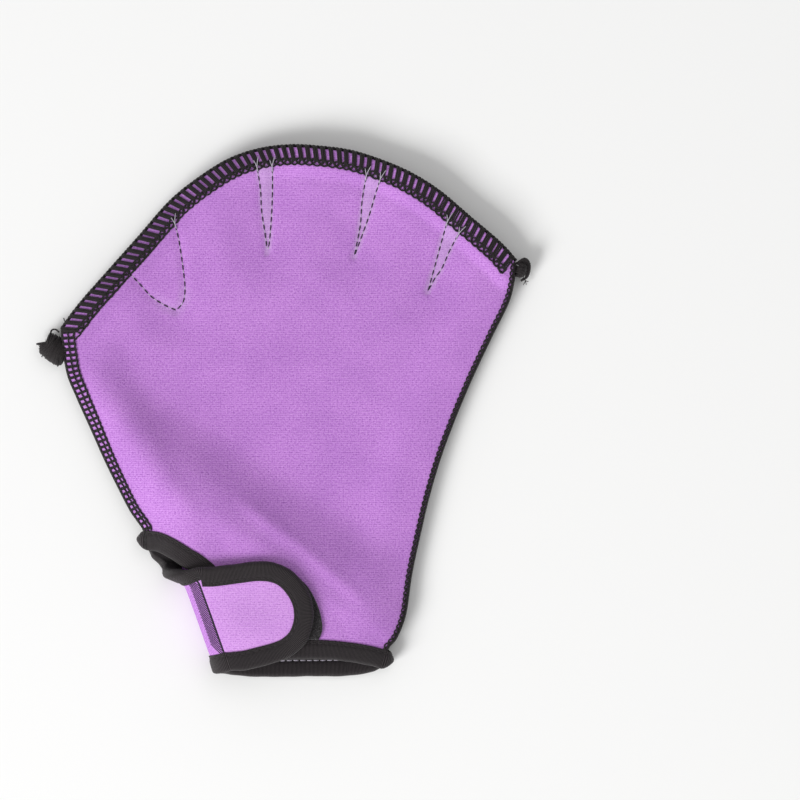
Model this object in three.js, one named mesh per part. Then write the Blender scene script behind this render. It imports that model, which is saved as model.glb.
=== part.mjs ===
// Webbed swim glove lying flat, palm pocket up, fingers towards +Y, wrist towards -Y, millimetres.
// Two neoprene panels are sewn along both sides of a wide fan. The four finger mouths on top and the
// thumb mouth and wrist mouth below stay open. The back panel wraps up round the thumb side of the
// wrist and carries a strap that crosses the front.
import * as THREE from 'three';

// Overall size
const gloveLength = 214;
const fanWidth = 196;

// Cloth, tape and thread
const clothThickness = 2;
const tapeThickness = 0.7;
const tapeWidth = 6.5;
const threadThickness = 0.5;
const overlockDepth = 6.4;
const thumbSeamDepth = 3.8;
const littleSeamDepth = 2;
const clearance = 0.3;
const threadClearance = 0.7;
const tapeClearance = 0.4;
const restClearance = 0.05;

// Room between the inner faces of the two panels
const palmRoom = 6.8;
const fingerRoom = 9.2;
const wristRoom = 8.7;
const seamRoom = 0.9;
const sideReach = 22;
const stitchReach = 18;
const mouthReach = 20;

// Fold round the thumb side of the wrist
const foldRadius = 7.4;
const foldTurn = THREE.MathUtils.degToRad(165);
const ventFlare = 18.8;
const flareBelow = 2;
const flareReach = 22;

// Strap and its hook and loop fastening
const strapLift = 1;
const strapLiftReach = 5;
const fastenerThickness = 0.9;

// Thread lumps that tie off the two ends of the finger edge
const thumbTackRadius = 4;
const littleTackRadius = 3.1;

const clothHalf = clothThickness / 2;
const tapeHalf = clothHalf + tapeClearance + tapeThickness;
const threadHalf = clothHalf + threadClearance + threadThickness;
const boundHeight = tapeHalf + restClearance;
const sewnHeight = threadHalf + restClearance;
const edgeZone = tapeWidth + 4.5;
const settleReach = 16;
const cornerRoom = 2 * tapeHalf + 1.5 * clearance - clothThickness;
const bandRoom = 2 * threadHalf + 2 * clearance - clothThickness;

// A point in plan from its shares of the fan width and the glove length
const place = (across, along) => new THREE.Vector2(across * fanWidth, (along - 0.5) * gloveLength);
const trace = (rows) => new THREE.SplineCurve(rows.map(([across, along]) => place(across, along)));

// Outlines in plan. Columns: across, a share of the fan width from the middle of the glove, and
// along, a share of the glove length from the wrist end.
const fingerEdge = trace([
  [-0.4532, 0.6555], [-0.4134, 0.7031], [-0.3523, 0.7666], [-0.2912, 0.8301], [-0.2301, 0.8936],
  [-0.17, 0.9374], [-0.11, 0.9711], [-0.05, 0.9897], [0.0112, 0.9964], [0.0723, 0.9935],
  [0.1334, 0.986], [0.1935, 0.9692], [0.2546, 0.9449], [0.3147, 0.9104], [0.3747, 0.8637],
  [0.4369, 0.8151], [0.4695, 0.7825],
]);
const thumbSide = trace([
  [-0.2817, 0.2502], [-0.2825, 0.267], [-0.2866, 0.2848], [-0.2998, 0.3025], [-0.3177, 0.3277],
  [-0.3595, 0.4034], [-0.3961, 0.478], [-0.4226, 0.5322], [-0.443, 0.5808], [-0.4532, 0.6555],
]);
const littleSide = trace([
  [0.1976, 0.028], [0.2088, 0.0616], [0.2251, 0.0803], [0.2434, 0.1232], [0.2556, 0.1979],
  [0.2729, 0.2726], [0.2923, 0.3473], [0.3167, 0.422], [0.3473, 0.4967], [0.3819, 0.5714],
  [0.4206, 0.6461], [0.4582, 0.719], [0.4695, 0.7825],
]);
const frontWristEdge = trace([
  [-0.0845, 0.056], [-0.058, 0.0476], [-0.0092, 0.0467], [0.0723, 0.0476], [0.1334, 0.042],
  [0.1701, 0.0355], [0.1976, 0.028],
]);
const frontThumbMouth = trace([
  [-0.0845, 0.056], [-0.1029, 0.0803], [-0.1273, 0.1289], [-0.1538, 0.183], [-0.1823, 0.2082],
  [-0.2026, 0.2194], [-0.2332, 0.2362], [-0.2597, 0.2474], [-0.2817, 0.2502],
]);
const strapEdge = [
  [-0.08, 0.0289], [-0.0458, 0.0364], [-0.0092, 0.0458], [0.0173, 0.0579], [0.0407, 0.0803],
  [0.053, 0.1139], [0.0509, 0.1475], [0.0377, 0.1755], [0.0132, 0.2017], [-0.0173, 0.2157],
  [-0.054, 0.2189], [-0.0947, 0.2147], [-0.1415, 0.2091], [-0.1721, 0.2082],
];

// The wrist fold runs from its foot at the cuff to its head at the thumb mouth
const foldFoot = place(-0.1436, 0.0243);
const foldHead = place(-0.2047, 0.1793);
const foldLength = foldHead.distanceTo(foldFoot);
const foldUp = foldHead.clone().sub(foldFoot).normalize();
const foldOut = new THREE.Vector2(-foldUp.y, foldUp.x);

// Edges in the fold. Columns: up, a share of the fold length from its head, and turn, a share of
// the fold's whole turn.
const foldCuff = [[-1.048, 1], [-1.035, 0.545], [-1.075, 0.27], [-1.13, 0.08]];
const foldVent = [[0.136, 1], [0.165, 0.8], [0.198, 0.545], [0.255, 0.273], [0.34, 0.12], [0.44, 0.036]];
const flatCuff = [[-0.05, 0.0112], [0.0316, 0.0121], [0.1232, 0.0131], [0.1701, 0.0187], [0.1976, 0.028]];

// The lines of stitches between the fingers. Columns: across and along of each point, from the
// finger edge down to the tip.
const fingerStitches = [
  [[-0.29, 0.83], [-0.262, 0.74], [-0.223, 0.6928]],
  [[-0.236, 0.89], [-0.2067, 0.758], [-0.223, 0.6928]],
  [[-0.04, 0.985], [-0.035, 0.802]],
  [[0.18, 0.965], [0.1415, 0.7937]],
  [[0.345, 0.88], [0.2923, 0.7283]],
].map((rows) => rows.map(([across, along]) => place(across, along)));

// The palm swells towards the wrist across a slanted line
const swellStart = place(-0.3147, 0.45);
const swellEnd = place(0.2149, 0.1326);
const swellReach = 15;

// Distance from a point in plan to a line of points
function distanceTo(points, spot) {
  let least = Infinity;
  for (let i = 1; i < points.length; i += 1) {
    const run = points[i].clone().sub(points[i - 1]);
    const offset = spot.clone().sub(points[i - 1]);
    const share = THREE.MathUtils.clamp(offset.dot(run) / run.lengthSq(), 0, 1);
    least = Math.min(least, offset.addScaledVector(run, -share).length());
  }
  return least;
}

const ease = (value, from, to) => THREE.MathUtils.smoothstep(value, from, to);
const near = (distance) => 1 - ease(distance, edgeZone, edgeZone + settleReach);

// Where the roll of the fold starts, measured out from the line of its outermost points
const rollStart = (up) => ventFlare * ease(up, -flareBelow, flareReach) - foldRadius - clothHalf;

// A point of the fold drawn flat, from how far up the fold and round its turn it is
function unrolled(up, turn) {
  const out = rollStart(up) + foldRadius * foldTurn * turn;
  return foldHead.clone().addScaledVector(foldUp, up).addScaledVector(foldOut, out);
}

const thumbCorner = thumbSide.getPoint(0);
const littleCorner = littleSide.getPoint(0);
const seamLowEnd = foldCuff[0][0] * foldLength;
const seamHighEnd = foldVent[0][0] * foldLength;
const backCuff = new THREE.SplineCurve([
  ...foldCuff.map(([up, turn]) => unrolled(up * foldLength, turn)),
  ...flatCuff.map(([across, along]) => place(across, along)),
]);
const backVent = new THREE.SplineCurve([
  ...foldVent.map(([up, turn]) => unrolled(up * foldLength, turn)),
  thumbCorner,
]);

const thumbSidePoints = thumbSide.getSpacedPoints(40);
const littleSidePoints = littleSide.getSpacedPoints(60);
const fingerEdgePoints = fingerEdge.getSpacedPoints(80);
const cuffPoints = backCuff.getSpacedPoints(40);
const ventPoints = backVent.getSpacedPoints(24);

// Height of the middle of the back panel where it lies flat. It rests on its underside and is
// raised a little where tape or thread wraps its edges.
function backHeight(spot) {
  const bound = Math.min(distanceTo(cuffPoints, spot), distanceTo(ventPoints, spot));
  const sewn = Math.min(
    distanceTo(fingerEdgePoints, spot),
    distanceTo(thumbSidePoints, spot),
    distanceTo(littleSidePoints, spot),
  );
  const rise = Math.max((boundHeight - clothHalf) * near(bound), (sewnHeight - clothHalf) * near(sewn));
  return clothHalf + rise;
}

// Room between the panels at a point in plan
function room(spot) {
  const corner = Math.min(spot.distanceTo(thumbCorner), spot.distanceTo(littleCorner));
  const band = 1 - ease(distanceTo(fingerEdgePoints, spot), overlockDepth, 2 * overlockDepth);
  const mouthShare = 1 - ease(corner, edgeZone, edgeZone + mouthReach);
  const closed = Math.max(seamRoom + (bandRoom - seamRoom) * band, seamRoom + (cornerRoom - seamRoom) * mouthShare);
  const side = Math.min(distanceTo(thumbSidePoints, spot), distanceTo(littleSidePoints, spot));
  const rise = Math.sin((Math.PI / 2) * Math.min(1, side / sideReach));
  const slant = swellEnd.clone().sub(swellStart).normalize();
  const past = spot.clone().sub(swellStart).cross(slant);
  const swell = ease(past, -swellReach, swellReach);
  let open = THREE.MathUtils.lerp(palmRoom, wristRoom, swell);
  open = THREE.MathUtils.lerp(open, fingerRoom, band);
  let pinch = 1;
  for (const line of fingerStitches) pinch *= ease(distanceTo(line, spot), 0, stitchReach);
  return closed + Math.max(0, open - closed) * rise * pinch;
}

const frontHeight = (spot) => backHeight(spot) + clothThickness + room(spot);

// Middle of the back panel over a point of its flat outline, rolled up round the fold
function backMiddle(spot) {
  const offset = spot.clone().sub(foldHead);
  const up = offset.dot(foldUp);
  const out = offset.dot(foldOut);
  const start = rollStart(up);
  const beyond = out - start;
  if (beyond <= 0) return new THREE.Vector3(spot.x, spot.y, backHeight(spot));
  const angle = Math.min(beyond / foldRadius, foldTurn);
  const rest = beyond - foldRadius * angle;
  const across = start + foldRadius * Math.sin(angle) + rest * Math.cos(angle);
  const raised = foldRadius * (1 - Math.cos(angle)) + rest * Math.sin(angle);
  const foot = foldHead.clone().addScaledVector(foldUp, up).addScaledVector(foldOut, start);
  const plan = foldHead.clone().addScaledVector(foldUp, up).addScaledVector(foldOut, across);
  return new THREE.Vector3(plan.x, plan.y, backHeight(foot) + raised);
}

// How the back panel's middle moves for each millimetre out and up its outline, and its outer side
function backDirections(spot) {
  const step = 0.05;
  const slope = (direction) => {
    const ahead = backMiddle(spot.clone().addScaledVector(direction, step));
    const behind = backMiddle(spot.clone().addScaledVector(direction, -step));
    return ahead.sub(behind).divideScalar(2 * step);
  };
  const out = slope(foldOut);
  const up = slope(foldUp);
  return { out, up, outward: out.clone().cross(up).normalize() };
}

// The outline point that lies a distance from another one across the back panel's surface
function walkOnBack(spot, heading, distance) {
  const strides = 6;
  let here = spot;
  for (let i = 0; i < strides; i += 1) {
    const { out, up, outward } = backDirections(here);
    const level = heading.clone().addScaledVector(outward, -heading.dot(outward)).setLength(distance / strides);
    const [a, b, c] = [out.dot(out), out.dot(up), up.dot(up)];
    const [d, e] = [level.dot(out), level.dot(up)];
    const whole = a * c - b * b;
    here = here.clone().addScaledVector(foldOut, (c * d - b * e) / whole);
    here.addScaledVector(foldUp, (a * e - b * d) / whole);
  }
  return here;
}

// Three surfaces, each taking a point of its outline and a height above its middle on the outer side
const onBack = (spot, height) => backMiddle(spot).addScaledVector(backDirections(spot).outward, height);
const onFront = (spot, height) => new THREE.Vector3(spot.x, spot.y, frontHeight(spot) + height);
function onStrap(spot, height) {
  const offset = spot.clone().sub(foldHead);
  const up = THREE.MathUtils.clamp(offset.dot(foldUp), seamLowEnd, seamHighEnd);
  const seam = backMiddle(unrolled(up, 1));
  const past = Math.max(0, -offset.dot(foldOut) + (seam.x - foldHead.x) * foldOut.x + (seam.y - foldHead.y) * foldOut.y);
  const lift = strapLift * (1 - Math.exp(-past / strapLiftReach));
  return new THREE.Vector3(spot.x, spot.y, seam.z + lift + height);
}

// A closed mesh from its points and triangles, turned so that its faces point out
function closedMesh(name, material, points, triangles) {
  let volume = 0;
  for (const [a, b, c] of triangles) volume += points[a].dot(points[b].clone().cross(points[c]));
  const index = triangles.flatMap(([a, b, c]) => (volume > 0 ? [a, b, c] : [a, c, b]));
  const geometry = new THREE.BufferGeometry().setFromPoints(points);
  geometry.setIndex(index);
  geometry.computeVertexNormals();
  const mesh = new THREE.Mesh(geometry, material);
  mesh.name = name;
  return mesh;
}

// A patch of outline points between four sides. Columns run from the left side to the right side
// and rows from the lower side to the upper side.
function patch(sides, columns, rows) {
  const { left, right, lower, upper } = sides;
  return rows.map((t) => columns.map((s) => {
    const spot = new THREE.Vector2();
    spot.addScaledVector(left(t), 1 - s).addScaledVector(right(t), s);
    spot.addScaledVector(lower(s), 1 - t).addScaledVector(upper(s), t);
    spot.addScaledVector(left(0), -(1 - s) * (1 - t)).addScaledVector(right(0), -s * (1 - t));
    spot.addScaledVector(left(1), -(1 - s) * t).addScaledVector(right(1), -s * t);
    return spot;
  }));
}

// A sheet of even thickness from rows of outline points laid on a surface
function sheet(name, material, spots, surface, half) {
  const rowCount = spots.length;
  const columnCount = spots[0].length;
  const faceSize = rowCount * columnCount;
  const points = [half, -half].flatMap((height) => spots.flat().map((spot) => surface(spot, height)));
  const triangles = [];
  const quad = (a, b, c, d) => triangles.push([a, b, c], [a, c, d]);
  const corner = (row, column) => row * columnCount + column;
  for (let row = 0; row + 1 < rowCount; row += 1) {
    for (let column = 0; column + 1 < columnCount; column += 1) {
      const loop = [
        corner(row, column), corner(row, column + 1), corner(row + 1, column + 1), corner(row + 1, column),
      ];
      quad(...loop);
      quad(...loop.map((i) => i + faceSize).reverse());
    }
  }
  const rim = [];
  for (let column = 0; column + 1 < columnCount; column += 1) rim.push(corner(0, column));
  for (let row = 0; row + 1 < rowCount; row += 1) rim.push(corner(row, columnCount - 1));
  for (let column = columnCount - 1; column > 0; column -= 1) rim.push(corner(rowCount - 1, column));
  for (let row = rowCount - 1; row > 0; row -= 1) rim.push(corner(row, 0));
  rim.forEach((a, i) => {
    const b = rim[(i + 1) % rim.length];
    quad(a, a + faceSize, b + faceSize, b);
  });
  return closedMesh(name, material, points, triangles);
}

// A band from rings of points, one for each corner of its section, either closed on itself or
// closed by a cap at each end. Its faces split the same way as those of a sheet.
function band(name, material, rings, section, closed) {
  const size = section.length;
  const points = rings.flat();
  const triangles = [];
  const spans = closed ? rings.length : rings.length - 1;
  for (let ring = 0; ring < spans; ring += 1) {
    const next = (ring + 1) % rings.length;
    for (let i = 0; i < size; i += 1) {
      const j = (i + 1) % size;
      const loop = [ring * size + i, next * size + i, next * size + j, ring * size + j];
      const [a, b, c, d] = section[i].x >= section[j].x ? loop : [...loop.slice(1), loop[0]];
      triangles.push([a, b, c], [a, c, d]);
    }
  }
  if (!closed) {
    const cap = THREE.ShapeUtils.triangulateShape(section, []);
    const forward = THREE.ShapeUtils.area(section) > 0;
    const last = (rings.length - 1) * size;
    for (const [a, b, c] of cap) {
      triangles.push(forward ? [a, b, c] : [a, c, b]);
      triangles.push(forward ? [last + a, last + c, last + b] : [last + a, last + b, last + c]);
    }
  }
  return closedMesh(name, material, points, triangles);
}

const steps = (from, to, count) => Array.from({ length: count }, (_, i) => from + ((to - from) * i) / count);

// How far the rounded corner of a wrap drops, in thicknesses of the wrap
const shoulderDrop = 1.5;

// Section of a wrap folded over an edge: depth runs in from the cloth edge, height away from its
// middle. The outer face comes first, then the slot for the cloth.
function wrapSection(depth, thickness, gap, legSteps) {
  const slot = clothHalf + gap;
  const outer = slot + thickness;
  const nose = -(gap + thickness);
  const shoulder = outer - shoulderDrop * thickness;
  const inward = steps(depth, 0, legSteps);
  const outward = [...inward].reverse();
  return [
    ...inward.map((d) => [d, outer]), [0, outer], [nose, shoulder], [nose, -shoulder], [0, -outer],
    ...outward.map((d) => [d, -outer]), ...inward.map((d) => [d, -slot]), [-gap, -slot],
    [-gap, slot], ...outward.map((d) => [d, slot]),
  ].map(([d, h]) => new THREE.Vector2(d, h));
}
const threadSection = (depth) => wrapSection(depth, threadThickness, threadClearance, 1);
const tapeSection = wrapSection(tapeWidth, tapeThickness, tapeClearance, 3);

// How far the thread covers stop short of the corners, as a share of a row or column
const threadStart = 0.7;

// Rows and columns of the two panels. The rows above the thumb corner are shared.
const cuffShare = 0.22;
const ventShare = 0.4;
const thumbBandShare = (1 - ventShare) * ((tapeWidth + 3 * clearance) / thumbSide.getLength());
const littleBandShare = (tapeWidth + 3 * clearance) / littleSide.getLength();
const flareShare = 0.8 * cuffShare;
const rows = [
  0, ...steps(littleBandShare, flareShare, 3), ...steps(flareShare, cuffShare, 4),
  ...steps(cuffShare, ventShare, 9), ventShare, ...steps(ventShare + thumbBandShare, 1, 10), 1,
];
const rollShare = 0.25;
const backColumns = [...steps(0, rollShare, 10), ...steps(rollShare, 1, 12), 1];
const frontColumns = [...steps(0, 1, 21), 1];
const sideAt = (t) => thumbSide.getPointAt((t - ventShare) / (1 - ventShare));

function frontLeft(t) {
  return t < ventShare ? frontThumbMouth.getPointAt(t / ventShare) : sideAt(t);
}
function backLeft(t) {
  if (t < cuffShare) return unrolled(THREE.MathUtils.lerp(seamLowEnd, seamHighEnd, t / cuffShare), 1);
  return t < ventShare ? backVent.getPointAt((t - cuffShare) / (ventShare - cuffShare)) : sideAt(t);
}
const frontSpots = patch({
  left: frontLeft,
  right: (t) => littleSide.getPointAt(t),
  lower: (s) => frontWristEdge.getPointAt(s),
  upper: (s) => fingerEdge.getPointAt(s),
}, frontColumns, rows);
const backSpots = patch({
  left: backLeft,
  right: (t) => littleSide.getPointAt(t),
  lower: (s) => backCuff.getPointAt(s),
  upper: (s) => fingerEdge.getPointAt(s),
}, backColumns, rows);

// The point at a place between the items of a list of points
function between(points, position) {
  const low = Math.min(Math.floor(position), points.length - 2);
  return points[low].clone().lerp(points[low + 1], position - low);
}

// A thread cover wraps one panel edge, or both edges where the panels are sewn together. Each
// station names a point of the edge and its neighbour further in on the upper and lower panel.
function coverRing(upper, lower, depth) {
  return threadSection(depth).map((corner) => {
    const [edge, inner] = corner.y > 0 ? upper : lower;
    const inward = inner.clone().sub(edge).normalize();
    return edge.clone().addScaledVector(inward, corner.x).add(new THREE.Vector3(0, 0, corner.y));
  });
}

// Overlock along the finger edge of one panel
function overlock(name, spots, surface) {
  const [inner, edge] = spots.slice(-2).map((line) => line.map((spot) => surface(spot, 0)));
  const last = edge.length - 1;
  const places = [threadStart, ...steps(1, last, last - 1), last - threadStart];
  const rings = places.map((column) => {
    const pair = [between(edge, column), between(inner, column)];
    return coverRing(pair, pair, overlockDepth);
  });
  return band(name, threadFinish, rings, threadSection(overlockDepth), false);
}

// Seam thread over both panels along one side
function sideSeam(name, fromRow, side, depth) {
  const last = rows.length - 1;
  const pair = (spots, surface, row) => [0, 1].map((column) => {
    const line = spots.map((spotRow) => surface(spotRow.at(side === 'thumb' ? column : -1 - column), 0));
    return between(line, row);
  });
  const places = [...steps(fromRow, last, last - fromRow), last - threadStart];
  const rings = places.map((row) => (
    coverRing(pair(frontSpots, onFront, row), pair(backSpots, onBack, row), depth)
  ));
  return band(name, threadFinish, rings, threadSection(depth), false);
}

// Stations of the tape along an edge, each a function that lays a corner of the tape's section.
// The tape's depth runs square to the edge, and turns to the way given at each end.
function edgeStations(spots, surface, startInward, endInward) {
  const last = spots.length - 1;
  const across = surface === onBack ? walkOnBack : (spot, heading, distance) => (
    spot.clone().addScaledVector(new THREE.Vector2(heading.x, heading.y).normalize(), distance)
  );
  return spots.map((spot, i) => {
    const ahead = surface(spots[Math.min(i + 1, last)], 0);
    const run = ahead.sub(surface(spots[Math.max(i - 1, 0)], 0)).normalize();
    const outward = surface(spot, 1).sub(surface(spot, 0));
    const inward = outward.cross(run).normalize();
    for (const [fixed, end] of [[startInward, spots[0]], [endInward, spots[last]]]) {
      inward.lerp(fixed, 1 - ease(spot.distanceTo(end), 0, tapeWidth)).normalize();
    }
    return (corner) => surface(across(spot, inward, corner.x), corner.y);
  });
}

// Stations of the tape round a side corner, from one panel to the other
function cornerStations(spot, inward, outward, fromAngle, toAngle) {
  const low = backHeight(spot);
  const high = frontHeight(spot);
  const radius = (high - low) / 2;
  return [1, 2, 3, 4].map((i) => (corner) => {
    const angle = THREE.MathUtils.lerp(fromAngle, toAngle, i / 5);
    const reach = radius + corner.y;
    const plan = spot.clone().addScaledVector(inward, corner.x).addScaledVector(outward, reach * Math.cos(angle));
    return new THREE.Vector3(plan.x, plan.y, (low + high) / 2 + reach * Math.sin(angle));
  });
}

const finish = (color, roughness) => new THREE.MeshStandardMaterial({ color, roughness, metalness: 0 });
const neopreneFinish = finish(0xbc7ed0, 0.85);
const strapFinish = finish(0xd297e4, 0.85);
const tapeFinish = finish(0x2e282c, 0.8);
const threadFinish = finish(0x241f22, 0.7);
const fastenerFinish = finish(0x1d1a1c, 0.95);

// The tape that binds the thumb mouth, the wrist mouth and the strap in one closed loop
function edgeBinding() {
  const mouth = frontThumbMouth.getSpacedPoints(20).reverse();
  const cuff = frontWristEdge.getSpacedPoints(11).slice(1);
  const thumbInward = new THREE.Vector3(0, 1, 0);
  const littleRun = littleSide.getPointAt(littleBandShare).sub(littleCorner).normalize();
  const littleInward = new THREE.Vector3(littleRun.x, littleRun.y, 0);
  const littleOutward = new THREE.Vector3(littleRun.y, -littleRun.x, 0);
  const seamRun = (up) => backMiddle(unrolled(up + 1, 1)).sub(backMiddle(unrolled(up, 1))).normalize();
  const lowInward = seamRun(seamLowEnd);
  const highInward = seamRun(seamHighEnd - 1).negate();
  const rolled = (foldRadius * foldTurn) / backCuff.getLength();
  const backCuffSpots = [...steps(0, rolled, 9), ...steps(rolled, 1, 11), 1].map((t) => backCuff.getPointAt(t));
  const strapSpots = new THREE.SplineCurve([
    foldEdgeInPlan(seamLowEnd), ...strapEdge.map(([a, b]) => place(a, b)), foldEdgeInPlan(seamHighEnd),
  ]).getSpacedPoints(30).slice(1, -1);
  const stations = [
    ...edgeStations([...mouth, ...cuff], onFront, thumbInward, littleInward),
    ...cornerStations(littleCorner, littleInward, littleOutward, Math.PI / 2, -Math.PI / 2),
    ...edgeStations(backCuffSpots.reverse(), onBack, littleInward, lowInward),
    ...edgeStations(strapSpots, onStrap, lowInward, highInward),
    ...edgeStations(backVent.getSpacedPoints(14), onBack, highInward, thumbInward),
    ...cornerStations(thumbCorner, thumbInward, new THREE.Vector3(-1, 0, 0), -Math.PI / 2, Math.PI / 2),
  ];
  return band('edge_binding', tapeFinish, stations.map((station) => tapeSection.map(station)), tapeSection, true);
}

// The end of the back panel in plan, where the strap is sewn on
function foldEdgeInPlan(up) {
  const edge = backMiddle(unrolled(up, 1));
  return new THREE.Vector2(edge.x, edge.y);
}

function wristStrap() {
  const gap = foldOut.clone().multiplyScalar(-3 * clearance);
  const outline = strapEdge.map(([a, b]) => place(a, b));
  const seamLow = seamLowEnd + clearance;
  const seamHigh = seamHighEnd - 2 * clearance;
  const lowStart = foldEdgeInPlan(seamLow).add(gap);
  const highStart = foldEdgeInPlan(seamHigh).add(gap);
  const edge = new THREE.SplineCurve([lowStart, ...outline, highStart]);
  const lowTurn = 0.4;
  const highTurn = 0.62;
  const spots = patch({
    left: (t) => foldEdgeInPlan(THREE.MathUtils.lerp(seamLow, seamHigh, t)).add(gap),
    right: (t) => edge.getPointAt(THREE.MathUtils.lerp(lowTurn, highTurn, t)),
    lower: (s) => edge.getPointAt(lowTurn * s),
    upper: (s) => edge.getPointAt(1 - (1 - highTurn) * s),
  }, [...steps(0, 1, 12), 1], [...steps(0, 1, 8), 1]);
  return sheet('wrist_strap', strapFinish, spots, onStrap, clothHalf);
}

// A flat piece of hook or loop between the strap and the front panel. Columns of its corners:
// across and along, from the wrist and thumb corner anticlockwise.
function fastener(name, corners, surface, height) {
  const [a, b, c, d] = corners.map(([across, along]) => place(across, along));
  const line = (from, to) => (share) => from.clone().lerp(to, share);
  const spots = patch({
    left: line(a, d), right: line(b, c), lower: line(a, b), upper: line(d, c),
  }, [...steps(0, 1, 6), 1], [...steps(0, 1, 6), 1]);
  const lay = (spot, offset) => surface(spot, height + offset);
  return sheet(name, fastenerFinish, spots, lay, fastenerThickness / 2);
}

// A lump of thread a gap away from an edge, as tall as the two panels and their thread
function tack(name, corner, direction, radius, gap) {
  const height = frontHeight(corner) + threadHalf;
  const geometry = new THREE.IcosahedronGeometry(radius, 2);
  geometry.scale(1, 1, height / (2 * radius));
  const mesh = new THREE.Mesh(geometry, threadFinish);
  const centre = corner.clone().addScaledVector(direction.normalize(), radius + gap);
  mesh.position.set(centre.x, centre.y, height / 2);
  mesh.name = name;
  return mesh;
}

const thumbTackSpot = thumbSide.getPointAt(0.94);
const littleTackSpot = littleSide.getPoint(1);
const seamGap = threadClearance + threadThickness + clearance;
const tackGap = 2 * clearance;
const fastenerOffset = clothHalf + clearance + fastenerThickness / 2;
const loopCorners = [[-0.04, 0.083], [0.076, 0.083], [0.076, 0.198], [-0.04, 0.198]];
const hookCorners = [[-0.1, 0.088], [-0.019, 0.0915], [-0.013, 0.158], [-0.1, 0.158]];

const glove = new THREE.Group();
glove.add(
  sheet('back_panel', neopreneFinish, backSpots, onBack, clothHalf),
  sheet('front_panel', neopreneFinish, frontSpots, onFront, clothHalf),
  wristStrap(),
  edgeBinding(),
  overlock('overlock_front', frontSpots, onFront),
  overlock('overlock_back', backSpots, onBack),
  sideSeam('side_seam_thumb', rows.indexOf(ventShare) + 1, 'thumb', thumbSeamDepth),
  sideSeam('side_seam_little', 1, 'little', littleSeamDepth),
  tack('corner_tack_thumb', thumbTackSpot, new THREE.Vector2(-1, -0.2), thumbTackRadius, seamGap),
  tack('corner_tack_little', littleTackSpot, new THREE.Vector2(1, -0.6), littleTackRadius, tackGap),
  fastener('loop_patch', loopCorners, onFront, fastenerOffset),
  fastener('hook_patch', hookCorners, onStrap, -fastenerOffset),
);

// The origin is the middle of the overall box, on the surface that the glove lies on
const box = new THREE.Box3().setFromObject(glove, true);
const middlePoint = box.getCenter(new THREE.Vector3());
glove.position.set(-middlePoint.x, -middlePoint.y, -box.min.z);
glove.updateMatrixWorld(true);

export default glove;
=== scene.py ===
# Looks of the webbed swim glove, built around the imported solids. Lengths are in millimetres on the
# glove's own plan, and are turned into metres of the shared frame where each mesh is made.
import math

import bpy
import numpy as np
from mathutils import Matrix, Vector


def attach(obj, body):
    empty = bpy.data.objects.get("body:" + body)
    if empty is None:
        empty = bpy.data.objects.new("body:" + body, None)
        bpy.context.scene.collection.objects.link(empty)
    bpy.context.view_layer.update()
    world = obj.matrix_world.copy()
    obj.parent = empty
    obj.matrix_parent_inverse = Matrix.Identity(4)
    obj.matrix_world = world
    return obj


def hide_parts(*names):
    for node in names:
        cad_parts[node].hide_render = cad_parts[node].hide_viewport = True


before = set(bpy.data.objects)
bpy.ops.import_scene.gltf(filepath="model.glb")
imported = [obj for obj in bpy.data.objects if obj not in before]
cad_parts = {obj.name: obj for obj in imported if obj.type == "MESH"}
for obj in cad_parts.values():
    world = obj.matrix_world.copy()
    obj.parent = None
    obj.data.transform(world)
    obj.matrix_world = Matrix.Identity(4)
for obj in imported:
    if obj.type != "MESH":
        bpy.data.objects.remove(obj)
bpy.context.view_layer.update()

MM = 0.001
# From the glove's plan to the middle of its footprint
PLAN_SHIFT = np.array([-0.332, -0.796, 0.0])
RANDOM_SEED = 7
rng = np.random.default_rng(RANDOM_SEED)

# Sizes of the solids
GLOVE_LENGTH = 214.0
FAN_WIDTH = 196.0
CLOTH = 2.0
CLOTH_HALF = CLOTH / 2
TAPE_WIDTH = 6.5
OVERLOCK_DEPTH = 6.4
CLEARANCE = 0.3
# Half the thickness of a taped edge and of an overlocked edge
TAPE_HALF, THREAD_HALF = 2.1, 2.2
REST_CLEARANCE = 0.05
BOUND_HEIGHT = TAPE_HALF + REST_CLEARANCE
SEWN_HEIGHT = THREAD_HALF + REST_CLEARANCE
PALM_ROOM, FINGER_ROOM, WRIST_ROOM, SEAM_ROOM = 6.8, 9.2, 8.7, 0.9
SIDE_REACH, STITCH_REACH, MOUTH_REACH = 22.0, 18.0, 20.0
FOLD_RADIUS = 7.4
FOLD_TURN = math.radians(165)
VENT_FLARE, FLARE_BELOW, FLARE_REACH = 18.8, 2.0, 22.0
STRAP_LIFT, STRAP_LIFT_REACH = 1.0, 5.0
EDGE_ZONE = TAPE_WIDTH + 4.5
SETTLE_REACH = 16.0
CORNER_ROOM = 2 * TAPE_HALF + 1.5 * CLEARANCE - CLOTH
BAND_ROOM = 2 * THREAD_HALF + 2 * CLEARANCE - CLOTH
# How far the front cloth stands open at the fan and at the wrist, as a share of the solids' room
FAN_PUFF, WRIST_PUFF = 0.3, 1.0
# The soft ridge across the palm: height, place past the line of the swell, and its two flanks
RIDGE_HEIGHT, RIDGE_PAST, RIDGE_STEEP, RIDGE_GENTLE = 3.6, -2.0, 15.0, 24.0
# Where the swell from fan to wrist starts and ends, in shares of its reach
SWELL_FROM, SWELL_TO = -1.5, 0.7
# How much further the wrist's arch reaches from its seams, and where that sets in across the plan
WRIST_REACH_SHARE, WRIST_REACH_FROM, WRIST_REACH_TO = 1.7, -25.0, 10.0
# What is left of the room on a stitched line
PINCH_LEAST = 0.45
# Millimetres to one unit of UV, and the shares of it for the tape and round a thread
PLAN_SPAN, TAPE_UV_SHARE, THREAD_TURN_SHARE = 300.0, 3.0, 0.4
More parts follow.
